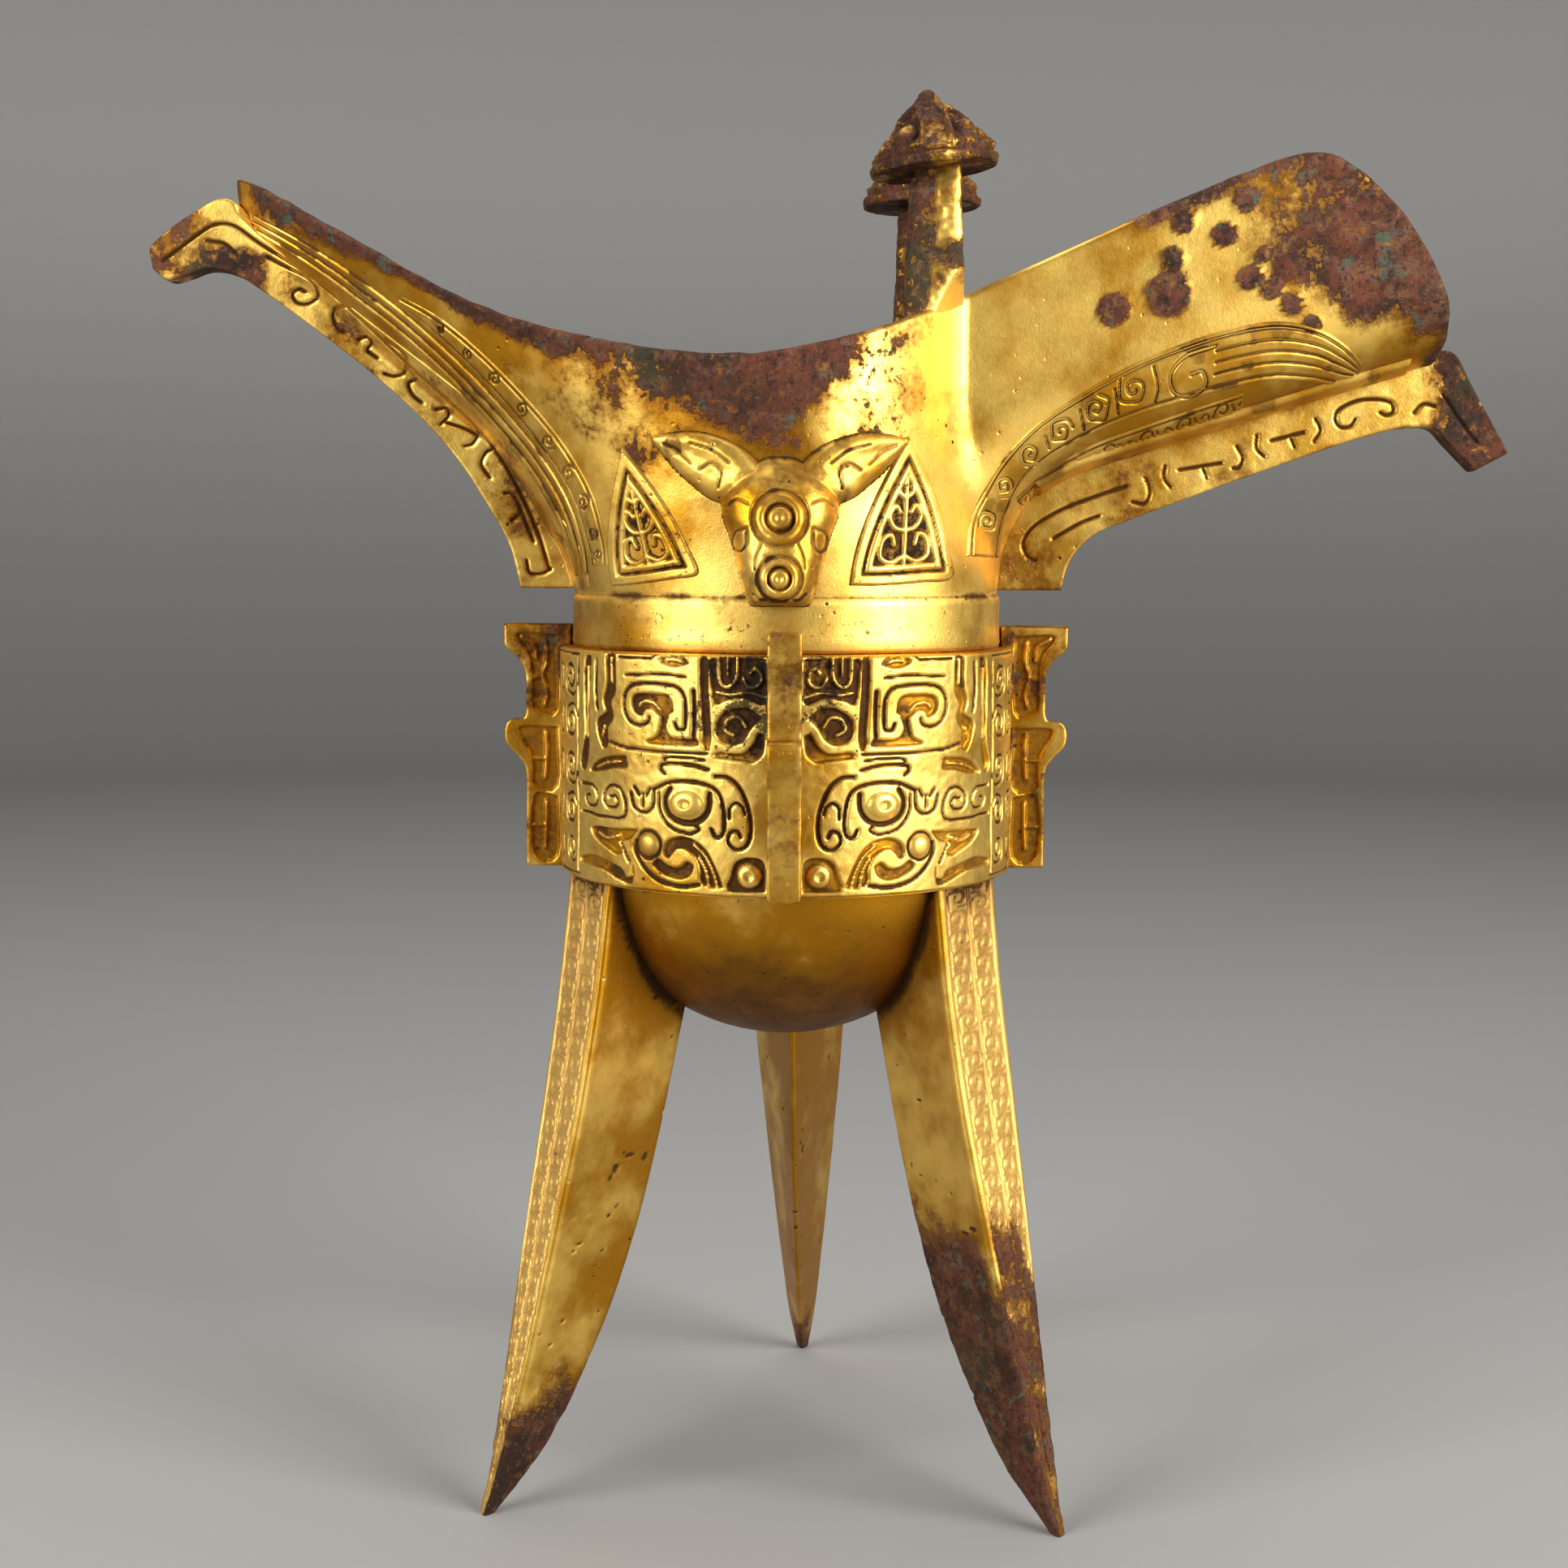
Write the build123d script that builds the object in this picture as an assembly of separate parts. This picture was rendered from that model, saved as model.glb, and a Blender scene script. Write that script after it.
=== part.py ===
"""Bronze jue: a three-legged pouring vessel with a spout, a pointed tail, two capped posts and a loop handle.

Each piece is a separate casting brazed to its neighbours. Millimetres, +Z up, floor at z = 0, vessel axis at
x = y = 0, spout towards +X, tail towards -X, animal head towards -Y, handle towards +Y.
"""

import math
import os

from build123d import *

# Heights of the body, stacked up from the floor
LEG_HEIGHT = 96.5
BAND_HEIGHT = 34.5
COLLAR_HEIGHT = 8.0
BOWL_DEPTH = 26.0
BAND_BOTTOM_Z = LEG_HEIGHT
BAND_TOP_Z = BAND_BOTTOM_Z + BAND_HEIGHT
NECK_Z = BAND_TOP_Z + COLLAR_HEIGHT
BOWL_BOTTOM_Z = BAND_BOTTOM_Z - BOWL_DEPTH

# Round body
BAND_R = 34.2
BAND_WALL = 4.4
BAND_OVERHANG = 2.4
MOUTH_WALL = 2.7
BOWL_WALL = 3.2
BORE_CHAMFER = 4.0
COLLAR_SETBACK = 1.0
COLLAR_STEP = 0.3
SPIGOT_DEPTH = 3.0
SPIGOT_WALL = 1.5
JOINT_GAP = 0.1
CUP_BORE_R = BAND_R - BAND_WALL
BOWL_R = BAND_R - BAND_OVERHANG
COLLAR_R = BAND_R - COLLAR_SETBACK
NECK_R = CUP_BORE_R + MOUTH_WALL

# Mouth in side view: height above the neck against reach beyond the neck radius
TAIL_REACH = [(0, 0), (6, 1.9), (10, 4.5), (17, 8.7), (22.4, 13.3), (29.7, 22.5), (36.9, 31.6), (44.2, 40.7),
              (50, 47.3), (55, 50.6), (62.4, 51.6), (68, 51.9)]
SPOUT_REACH = [(0, 0), (6, 0.7), (10.3, 2.3), (15.1, 5.4), (18.6, 11.7), (22.2, 22.9), (26.4, 36.7),
               (30.7, 50.6), (34.8, 64.5), (38.5, 76.5), (43, 84.5), (50, 88.5), (68, 91)]
SECTION_HEIGHTS = [0, 3, 6, 9, 12, 15, 18, 21, 24, 28, 32, 36, 41, 46, 52, 58, 66]

# Mouth in plan
SPOUT_HALF_WIDTH = 15.3
SPOUT_FLOOR_DEPTH = 13.0
SPOUT_ROOT_X = 34.0
ROOT_BLEND = 7.0
ROOT_NARROWING = 6.5
SHAPE_CHANGE_HEIGHT = 30.0
TAIL_POINT_HEIGHT = 50.0
TAIL_SHARPNESS = 0.45

# Rim in side view: x against height above the neck
RIM = [(-93, 64.5), (-82, 62), (-62, 50.8), (-40, 39.9), (-12, 34), (8, 36.4), (28, 44.8), (52, 55.6), (66, 61.4)]
RIM_ENDS = [(1, -0.2), (1, 0.4)]
CUT_MARGIN = 10.0
SPOUT_END = [(66, 61.4), (73, 63.9), (78.5, 64.3), (84, 61.4), (91, 54), (96.3, 45), (98.4, 37.5), (99.6, 28)]
SPOUT_END_ENDS = [(1, 0.4), (0.13, -1)]

# Fins under the spout and the tail, as reach beyond the neck radius against height above the neck
KEEL_THICKNESS = 4.6
KEEL_ROOT_DEPTH = 6.0
SPOUT_KEEL_EDGE = [(9.9, 0.7), (11.3, 5.4), (14.7, 9.2), (19.6, 11.3), (37, 17.8), (50.8, 22.7), (61.1, 25.6)]
SPOUT_HOOK = [(66.8, 25.2), (72.7, 19), (78.1, 21.8)]
SPOUT_HOOK_TOP = (68.5, 37.5)
SPOUT_KEEL_ROOT = (0, 24)
TAIL_KEEL_EDGE = [(8.5, 0.7), (10.2, 7.3), (13.4, 13.2), (17.9, 20.1), (24.4, 27.4), (33.9, 35.6), (46.7, 45), (54.4, 48.8)]
TAIL_HOOK = [(61.4, 46.5), (65.2, 50.3), (63.1, 53.5), (58.1, 57.1), (52.8, 59.6)]
TAIL_KEEL_ROOT = [(45.5, 54), (0, 20)]

# Legs: share of the leg height, reach of the outer face beyond the bowl, its width, depth to the inner ridge
LEG_SECTIONS = [(0, 18.8, 2.4, 2.6), (0.083, 16.6, 5.4, 8), (0.197, 14.3, 7.9, 12.3), (0.369, 11, 11.4, 16.3),
                (0.525, 8.1, 14.2, 17.9), (0.676, 5.4, 16.4, 18.6), (0.846, 2.8, 17.2, 19.4), (1, 1.1, 17.4, 20)]
LEG_AZIMUTHS = {"rear_leg": 86, "left_leg": 206, "right_leg": 326}
LEG_PEG_R = 2.0
LEG_PEG_DEPTH = 1.5
LEG_PEG_DROP = 8.5
LEG_PEG_Z = BAND_BOTTOM_Z - LEG_PEG_DROP

# Flanges on the band
FLANGE_THICKNESS = 4.8
SIDE_FLANGE_REACH = 6.2
FRONT_FLANGE_REACH = 4.6
FLANGE_HOOK = 2.7
FLANGE_RISE = 3.2
FLANGE_HOOK_HEIGHT = 3.2
FLANGE_SECOND_HOOK = 19.5
FLANGE_SCOOP = 2.6
FLANGE_SLOPE = 1.8
FLANGE_TOP_Z = BAND_TOP_Z + FLANGE_RISE
TONGUE_DEPTH = 1.2
TONGUE_WIDTH = 2.4

# Posts on the rim and their caps
POST_SETBACK = 11.2
POST_INSET = 13.7
POST_LEAN = 2.0
POST_FOOT_RISE = 37.0
POST_TOP_RISE = 61.2
POST_FOOT_WIDTH = 9.2
POST_TOP_WIDTH = 7.3
POST_FOOT_DEPTH = 5.4
POST_TOP_DEPTH = 4.6
POST_ROUND = 0.8
POST_X = NECK_R - POST_SETBACK
POST_FOOT_Y = NECK_R - POST_INSET
POST_TOP_Y = POST_FOOT_Y - POST_LEAN
POST_FOOT_Z = NECK_Z + POST_FOOT_RISE
POST_TOP_Z = NECK_Z + POST_TOP_RISE
TENON_R = 1.6
TENON_HEIGHT = 5.0
CAP_R = 9.3
CAP_BRIM = 1.4
CAP_HEIGHT = 11.6
CAP_TIP_R = 0.9
CAP_TILTS = {"front_cap": -7.0, "rear_cap": -1.0}

# Loop handle behind
HANDLE_WIDTH = 11.0
HANDLE_THICKNESS = 4.5
HANDLE_DROP = 5.0
HANDLE_TOP_Z = BAND_TOP_Z - HANDLE_DROP
HANDLE_LOW_Z = BAND_BOTTOM_Z + HANDLE_DROP
HANDLE_ROUND = 1.2
HANDLE_REACH = 22.0
HANDLE_BEND_R = 9.0
HANDLE_TENON = 1.5
HANDLE_TENON_INSET = 1.0

# Animal heads
HEAD_WIDTH = 18.0
MUZZLE_WIDTH = 11.5
HEAD_HEIGHT = 18.5
HEAD_DEPTH = 9.0
HEAD_LIFT = 0.4
FRONT_HEAD_Z = NECK_Z + HEAD_LIFT
EAR_SPREAD = 17.5
EAR_RISE = 23.5
EAR_ROOT = 15.5
EAR_THICKNESS = 4.2


def smooth_value(pairs, at):
    """Value on a monotone cubic through (position, value) pairs, carried on straight past the last pair."""
    last = len(pairs) - 1
    slopes = [(b[1] - a[1]) / (b[0] - a[0]) for a, b in zip(pairs, pairs[1:])]
    if at >= pairs[last][0]:
        return pairs[last][1] + slopes[-1] * (at - pairs[last][0])
    inner = [0.0 if a * b <= 0 else 2 * a * b / (a + b) for a, b in zip(slopes, slopes[1:])]
    tangents = [slopes[0], *inner, slopes[-1]]
    i = max(k for k in range(last) if pairs[k][0] <= max(at, pairs[0][0]))
    width = pairs[i + 1][0] - pairs[i][0]
    t = (at - pairs[i][0]) / width
    start = (1 + 2 * t) * (1 - t) ** 2 * pairs[i][1] + t * (1 - t) ** 2 * width * tangents[i]
    end = t * t * (3 - 2 * t) * pairs[i + 1][1] + t * t * (t - 1) * width * tangents[i + 1]
    return start + end


def ease(at):
    """Zero below 0, one above 1 and a smooth rise between."""
    t = min(1.0, max(0.0, at))
    return t * t * (3 - 2 * t)


def spout_floor():
    """Points down the middle of the spout floor as (x, height above the neck), carried down past the neck."""
    heights = [0.4 * k for k in range(int(SECTION_HEIGHTS[-1] / 0.4) + 1)]
    return [(NECK_R, -30.0)] + [(NECK_R + smooth_value(SPOUT_REACH, h), h) for h in heights]


FLOOR = spout_floor()


def depth_over_floor(x, height):
    """Distance of a point of the middle plane from the spout floor, negative outside."""
    best = math.inf
    for (ax, ah), (bx, bh) in zip(FLOOR, FLOOR[1:]):
        span = (bx - ax) ** 2 + (bh - ah) ** 2
        t = min(1.0, max(0.0, ((x - ax) * (bx - ax) + (height - ah) * (bh - ah)) / span))
        best = min(best, math.hypot(ax + t * (bx - ax) - x, ah + t * (bh - ah) - height))
    inside = x < NECK_R + smooth_value(SPOUT_REACH, height)
    return best if inside else -best


def spout_nose(height, inset):
    """x where the spout floor, moved in by the inset, reaches a height."""
    low = 0.0
    high = NECK_R + smooth_value(SPOUT_REACH, height)
    for _ in range(40):
        middle = (low + high) / 2
        if depth_over_floor(middle, height) > inset:
            low = middle
        else:
            high = middle
    return (low + high) / 2


def spout_side_y(x, height, inset):
    """Half width of the mouth at a point of its spout side."""
    cup_x = NECK_R - ROOT_NARROWING * ease(height / SHAPE_CHANGE_HEIGHT) - inset
    cup_y = (NECK_R - inset) * math.sqrt(max(0.0, 1 - (x / cup_x) ** 2))
    rise = min(1.0, max(0.0, (depth_over_floor(x, height) - inset) / (SPOUT_FLOOR_DEPTH - inset)))
    trough = math.sqrt(max(0.0, 1 - (1 - rise) ** 2))
    trough_y = (SPOUT_HALF_WIDTH - inset) * trough
    blend = ROOT_BLEND * (0.3 + 0.7 * ease(height / SHAPE_CHANGE_HEIGHT)) * trough
    return (cup_y + trough_y + math.hypot(cup_y - trough_y, blend)) / 2


def spread(points, count):
    """Points spaced evenly along a finely drawn line, without its last point."""
    along = [0.0]
    for a, b in zip(points, points[1:]):
        along.append(along[-1] + math.dist(a, b))
    spaced = []
    k = 0
    for step in range(count):
        goal = along[-1] * step / count
        while along[k + 1] < goal:
            k += 1
        part = (goal - along[k]) / (along[k + 1] - along[k])
        spaced.append(tuple(p + part * (q - p) for p, q in zip(points[k], points[k + 1])))
    return spaced


def half_outline(height, inset):
    """Half of a level section of the mouth, from the tail point round one side to the spout floor."""
    slope = (smooth_value(TAIL_REACH, height + 0.5) - smooth_value(TAIL_REACH, max(0.0, height - 0.5)))
    tail_x = NECK_R + smooth_value(TAIL_REACH, height) - inset * math.hypot(1.0, slope)
    power = 1 + 2 * TAIL_SHARPNESS * ease(height / TAIL_POINT_HEIGHT)
    middle_y = spout_side_y(0.0, height, inset)
    nose = spout_nose(height, inset)
    root = min(SPOUT_ROOT_X, 0.93 * nose)
    angles = [math.radians(90 - 1.5 * k) for k in range(61)]
    tail = [(-tail_x * math.sin(a), middle_y * max(0.0, math.cos(a)) ** power) for a in angles]
    across = [root * k / 60 for k in range(61)]
    cup = [(x, spout_side_y(x, height, inset)) for x in across]
    onward = [root + (nose - root) * math.sin(math.radians(1.5 * k)) for k in range(61)]
    trough = [(x, spout_side_y(x, height, inset)) for x in onward]
    trough[-1] = (nose, 0.0)
    tail[0] = (-tail_x, 0.0)
    return [*spread(tail, 8), *spread(cup, 8), *spread(trough, 9), (nose, 0.0)]


def mouth_block(inset):
    """Solid block bounded by the mouth surface moved in by the inset."""
    middle = half_outline(SECTION_HEIGHTS[8], inset)
    steps = [math.dist(a, b) for a, b in zip(middle, middle[1:])]
    places = [sum(steps[:k]) / sum(steps) for k in range(len(middle))]
    places[-1] = 1.0
    back = [1.0 - p for p in reversed(places)]
    wires = []
    for height in SECTION_HEIGHTS:
        half = half_outline(height, inset)
        z = NECK_Z + height
        side = Edge.make_spline([(x, y, z) for x, y in half], parameters=places)
        other = Edge.make_spline([(x, -y, z) for x, y in reversed(half)], parameters=back)
        wires.append(Wire([side, other]))
    return Solid.make_loft(wires)


def flat_plate(edges, thickness):
    """Plate from a closed outline in the XZ plane, thickness shared on both sides of it."""
    return extrude(Face(Wire(edges)), amount=thickness / 2, dir=(0, 1, 0), both=True)


def lines(points):
    """Straight edges joining points of the XZ plane in turn."""
    return [Edge.make_line((a[0], 0, a[1]), (b[0], 0, b[1])) for a, b in zip(points, points[1:])]


def curve(points, directions=None):
    """Smooth edge through points of the XZ plane, with its end directions if they are given."""
    tangents = [(x, 0, z) for x, z in directions] if directions else None
    return Edge.make_spline([(x, 0, z) for x, z in points], tangents)


def above_neck(points):
    """Points given by height above the neck, moved to heights above the floor."""
    return [(x, NECK_Z + h) for x, h in points]


def beyond_neck(points, side):
    """Points given by reach beyond the neck and height above it, on the spout side (1) or the tail side (-1)."""
    return above_neck([(side * (NECK_R + reach), h) for reach, h in points])


def turned(points):
    """Ring turned about the vessel axis from a closed outline of (radius, height)."""
    return revolve(Face(Wire(lines([*points, points[0]]))), Axis.Z)


def round_bar(radius, low, high):
    """Upright bar on the vessel axis."""
    return Pos(0, 0, low) * Cylinder(radius, high - low, align=(Align.CENTER, Align.CENTER, Align.MIN))


def bowl_ball_r():
    """Radius of the ball that shapes the bottom of the bowl."""
    return (BOWL_R**2 + BOWL_DEPTH**2) / (2 * BOWL_DEPTH)


def bowl_radius(z, inset):
    """Radius of the round bottom at a height, moved in by the inset."""
    drop = BOWL_BOTTOM_Z + bowl_ball_r() - z
    return math.sqrt((bowl_ball_r() - inset) ** 2 - drop**2)


def rounded_bottom(inset):
    """Part of the bowl's ball below the band, moved in by the inset."""
    ball = Pos(0, 0, BOWL_BOTTOM_Z + bowl_ball_r()) * Sphere(bowl_ball_r() - inset)
    return ball & round_bar(2 * BOWL_R, BOWL_BOTTOM_Z - 1, BAND_BOTTOM_Z)


def bowl_outside():
    """Bowl and band as one full body."""
    return Rot(0, 0, 45) * (rounded_bottom(0.0) + round_bar(BAND_R, BAND_BOTTOM_Z, BAND_TOP_Z))


def make_bowl_blank():
    """Cup with its rounded bottom and the band wall, before sockets are cut."""
    inner_r = bowl_radius(BAND_BOTTOM_Z, BOWL_WALL)
    seat_r = CUP_BORE_R + SPIGOT_WALL
    bore = turned([(0, BAND_BOTTOM_Z), (inner_r, BAND_BOTTOM_Z), (CUP_BORE_R, BAND_BOTTOM_Z + BORE_CHAMFER),
                   (CUP_BORE_R, BAND_TOP_Z - SPIGOT_DEPTH), (seat_r, BAND_TOP_Z - SPIGOT_DEPTH),
                   (seat_r, BAND_TOP_Z + 1), (0, BAND_TOP_Z + 1)])
    return bowl_outside() - Rot(0, 0, 45) * (rounded_bottom(BOWL_WALL) + bore)


def make_mouth():
    """Collar, flared mouth, spout and tail, with the spigot that drops into the band."""
    bore_r = CUP_BORE_R - COLLAR_STEP
    spigot_r = CUP_BORE_R + SPIGOT_WALL - JOINT_GAP
    spigot_low = BAND_TOP_Z - SPIGOT_DEPTH + JOINT_GAP
    spigot = turned([(bore_r, spigot_low), (spigot_r, spigot_low), (spigot_r, BAND_TOP_Z), (COLLAR_R, BAND_TOP_Z),
                     (COLLAR_R, NECK_Z), (bore_r, NECK_Z)])
    rim = above_neck(RIM)
    end = above_neck(SPOUT_END)
    top_z = NECK_Z + SECTION_HEIGHTS[-1] + CUT_MARGIN
    far_x = FLOOR[-1][0] + CUT_MARGIN
    closing = lines([end[-1], (far_x, end[-1][1]), (far_x, top_z), (rim[0][0], top_z), rim[0]])
    waste = flat_plate([curve(rim, RIM_ENDS), curve(end, SPOUT_END_ENDS), *closing], 4 * NECK_R)
    return mouth_block(0) - mouth_block(MOUTH_WALL) - waste + spigot


def mouth_filling():
    """Everything the mouth and the band enclose, used to shape what sits against them."""
    return mouth_block(0) + round_bar(COLLAR_R, BAND_TOP_Z, NECK_Z) + round_bar(BAND_R, BAND_BOTTOM_Z, BAND_TOP_Z)


def make_leg(azimuth, bowl_body):
    """Three-sided blade leg, coped to the bowl, with a short peg into the bowl wall."""
    wires = []
    for share, reach, width, depth in LEG_SECTIONS:
        radius = BOWL_R + reach
        z = share * LEG_HEIGHT
        corners = [(radius, -width / 2, z), (radius, width / 2, z), (radius - depth, 0, z)]
        wires.append(Wire.make_polygon(corners, close=True))
    blade = Solid.make_loft(wires)
    return Rot(0, 0, azimuth) * (blade - bowl_body) + leg_peg(azimuth, 0.0)


def leg_peg(azimuth, gap):
    """Radial peg from inside a leg to its socket in the bowl wall."""
    wall_r = bowl_radius(LEG_PEG_Z, 0.0)
    start = wall_r - LEG_PEG_DEPTH - gap
    peg = Cylinder(LEG_PEG_R + gap, wall_r + LEG_PEG_R - start, align=(Align.CENTER, Align.CENTER, Align.MIN))
    return Rot(0, 0, azimuth) * Pos(start, 0, LEG_PEG_Z) * Rot(0, 90, 0) * peg


def flange_tongue(gap):
    """Tongue on the back of a flange that faces +X, or the groove it drops into."""
    low = BAND_BOTTOM_Z + FLANGE_HOOK
    high = BAND_TOP_Z - FLANGE_HOOK
    size = (TONGUE_DEPTH + gap + JOINT_GAP, TONGUE_WIDTH + 2 * gap, high - low + 2 * gap)
    return Pos(BAND_R - TONGUE_DEPTH - gap, 0, low - gap) * Box(*size, align=(Align.MIN, Align.CENTER, Align.MIN))


def make_flange(reach, azimuth):
    """Stepped flange with two hooks, standing on the band at an azimuth."""
    edge = BAND_R + reach
    point = edge + FLANGE_HOOK
    top = FLANGE_TOP_Z
    second = BAND_BOTTOM_Z + FLANGE_SECOND_HOOK
    outline = [(BAND_R - 2 * TONGUE_DEPTH, BAND_BOTTOM_Z), (edge, BAND_BOTTOM_Z), (edge, second - FLANGE_SCOOP),
               (point, second), (point, second + FLANGE_HOOK_HEIGHT), (edge, second + FLANGE_HOOK_HEIGHT + FLANGE_SLOPE),
               (edge, top - FLANGE_HOOK_HEIGHT - FLANGE_SCOOP), (point, top - FLANGE_HOOK_HEIGHT), (point, top),
               (BAND_R - 2 * TONGUE_DEPTH, top - 0.6)]
    plate = flat_plate(lines([*outline, outline[0]]), FLANGE_THICKNESS)
    plate = plate - round_bar(BAND_R, BAND_BOTTOM_Z - 1, FLANGE_TOP_Z + 1)
    return Rot(0, 0, azimuth) * (plate + flange_tongue(0.0))


def make_spout_keel(filling):
    """Fin under the spout, ending in a hook that turns down."""
    edge = beyond_neck(SPOUT_KEEL_EDGE, 1)
    hook = beyond_neck([SPOUT_KEEL_EDGE[-1], *SPOUT_HOOK, SPOUT_HOOK_TOP], 1)
    inside = beyond_neck([SPOUT_HOOK_TOP, (SPOUT_HOOK_TOP[0] - KEEL_ROOT_DEPTH, SPOUT_HOOK_TOP[1]), SPOUT_KEEL_ROOT,
                          (-KEEL_ROOT_DEPTH, SPOUT_KEEL_EDGE[0][1]), SPOUT_KEEL_EDGE[0]], 1)
    return flat_plate([curve(edge), *lines(hook), *lines(inside)], KEEL_THICKNESS) - filling


def make_tail_keel(filling):
    """Fin under the tail, ending in a hook that turns up."""
    edge = beyond_neck(TAIL_KEEL_EDGE, -1)
    hook = beyond_neck([TAIL_KEEL_EDGE[-1], *TAIL_HOOK], -1)
    inside = beyond_neck([TAIL_HOOK[-1], *TAIL_KEEL_ROOT, (-KEEL_ROOT_DEPTH, TAIL_KEEL_EDGE[0][1]),
                          TAIL_KEEL_EDGE[0]], -1)
    return flat_plate([curve(edge), *lines(hook), *lines(inside)], KEEL_THICKNESS) - filling


def post_axis(side, tilt):
    """Placing of a cap and its tenon on top of a post."""
    return Pos(POST_X, side * POST_TOP_Y, POST_TOP_Z) * Rot(0, tilt, 0)


def make_post(side, tilt, mouth):
    """Post whose foot straddles the rim, with a tenon for its cap."""
    foot = Plane((POST_X, side * POST_FOOT_Y, POST_FOOT_Z)) * Rectangle(POST_FOOT_WIDTH, POST_FOOT_DEPTH)
    head = Plane((POST_X, side * POST_TOP_Y, POST_TOP_Z)) * Rectangle(POST_TOP_WIDTH, POST_TOP_DEPTH)
    bar = loft([foot, head])
    bar = fillet(bar.edges().filter_by(lambda e: abs(e.tangent_at(0.5).Z) > 0.9), POST_ROUND)
    seat = post_axis(side, tilt) * Box(4 * CAP_R, 4 * CAP_R, CAP_R, align=(Align.CENTER, Align.CENTER, Align.MIN))
    tenon = Cylinder(TENON_R, 2 * TENON_HEIGHT)
    return bar - mouth - seat + post_axis(side, tilt) * tenon


def make_cap(side, tilt):
    """Conical cap with a socket for the post tenon."""
    outline = [(0, 0), (CAP_R, 0), (CAP_R, CAP_BRIM), (CAP_TIP_R, CAP_HEIGHT), (0, CAP_HEIGHT)]
    socket = Cylinder(TENON_R + JOINT_GAP, 2 * (TENON_HEIGHT + JOINT_GAP))
    return post_axis(side, tilt) * (turned(outline) - socket)


def handle_tenons(gap):
    """Tenons at the two ends of the handle, or the sockets they drop into."""
    width = HANDLE_WIDTH - 2 * HANDLE_TENON_INSET + 2 * gap
    height = HANDLE_THICKNESS - 2 * HANDLE_TENON_INSET + 2 * gap
    start = math.sqrt(BAND_R**2 - (HANDLE_WIDTH / 2) ** 2) - HANDLE_TENON - gap
    block = Box(width, BAND_R + 1 - start, height, align=(Align.CENTER, Align.MIN, Align.CENTER))
    return Pos(0, start, HANDLE_TOP_Z) * block + Pos(0, start, HANDLE_LOW_Z) * block


def make_handle():
    """Strap loop standing on the band behind, with a tenon at each end."""
    start = BAND_R - 2
    reach = BAND_R + HANDLE_REACH
    bend = HANDLE_BEND_R
    corner = bend * (1 - math.sqrt(0.5))
    path = Wire([
        Edge.make_line((0, start, HANDLE_TOP_Z), (0, reach - bend, HANDLE_TOP_Z)),
        Edge.make_three_point_arc((0, reach - bend, HANDLE_TOP_Z), (0, reach - corner, HANDLE_TOP_Z - corner),
                                  (0, reach, HANDLE_TOP_Z - bend)),
        Edge.make_line((0, reach, HANDLE_TOP_Z - bend), (0, reach, HANDLE_LOW_Z + bend)),
        Edge.make_three_point_arc((0, reach, HANDLE_LOW_Z + bend), (0, reach - corner, HANDLE_LOW_Z + corner),
                                  (0, reach - bend, HANDLE_LOW_Z)),
        Edge.make_line((0, reach - bend, HANDLE_LOW_Z), (0, start, HANDLE_LOW_Z)),
    ])
    section = Plane((0, start, HANDLE_TOP_Z), x_dir=(1, 0, 0), z_dir=(0, 1, 0))
    strap = sweep(section * RectangleRounded(HANDLE_WIDTH, HANDLE_THICKNESS, HANDLE_ROUND), path)
    strap = strap - round_bar(BAND_R, BAND_BOTTOM_Z - 5, NECK_Z)
    return strap + (handle_tenons(0.0) & (round_bar(BAND_R + 0.5, BAND_BOTTOM_Z, BAND_TOP_Z)))


def make_head(base_z):
    """Animal head facing -Y with two spread ears, before it is shaped to the wall behind it."""
    back = BAND_R - 10

    def ring(y, half_top, half_low, low, high):
        corners = [(-half_low, low), (half_low, low), (half_top, low + 0.45 * (high - low)), (half_top * 0.8, high),
                   (-half_top * 0.8, high), (-half_top, low + 0.45 * (high - low))]
        return Wire.make_polygon([(x, -y, base_z + z) for x, z in corners], close=True)

    half = HEAD_WIDTH / 2
    muzzle = MUZZLE_WIDTH / 2
    face = Solid.make_loft([
        ring(back, half, muzzle, 0, HEAD_HEIGHT),
        ring(NECK_R + 0.45 * HEAD_DEPTH, half * 0.92, muzzle * 0.95, 0.3, HEAD_HEIGHT * 0.95),
        ring(NECK_R + HEAD_DEPTH, muzzle, muzzle * 0.7, 1.5, HEAD_HEIGHT * 0.66),
    ], True)
    ears = []
    for side in (-1, 1):
        root = (side * 2, base_z + EAR_ROOT)
        tip = (side * EAR_SPREAD, base_z + EAR_RISE - 1.5)
        upper = curve([root, (side * EAR_SPREAD * 0.45, base_z + EAR_RISE), tip])
        lower = curve([tip, (side * EAR_SPREAD * 0.6, base_z + EAR_ROOT - 0.5), (side * 4, base_z + EAR_ROOT - 5)])
        ear = extrude(Face(Wire([upper, lower, *lines([(side * 4, base_z + EAR_ROOT - 5), root])])),
                      amount=NECK_R + EAR_THICKNESS - 1.5, dir=(0, -1, 0))
        ears.append(ear)
    return face + ears[0] + ears[1]


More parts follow.
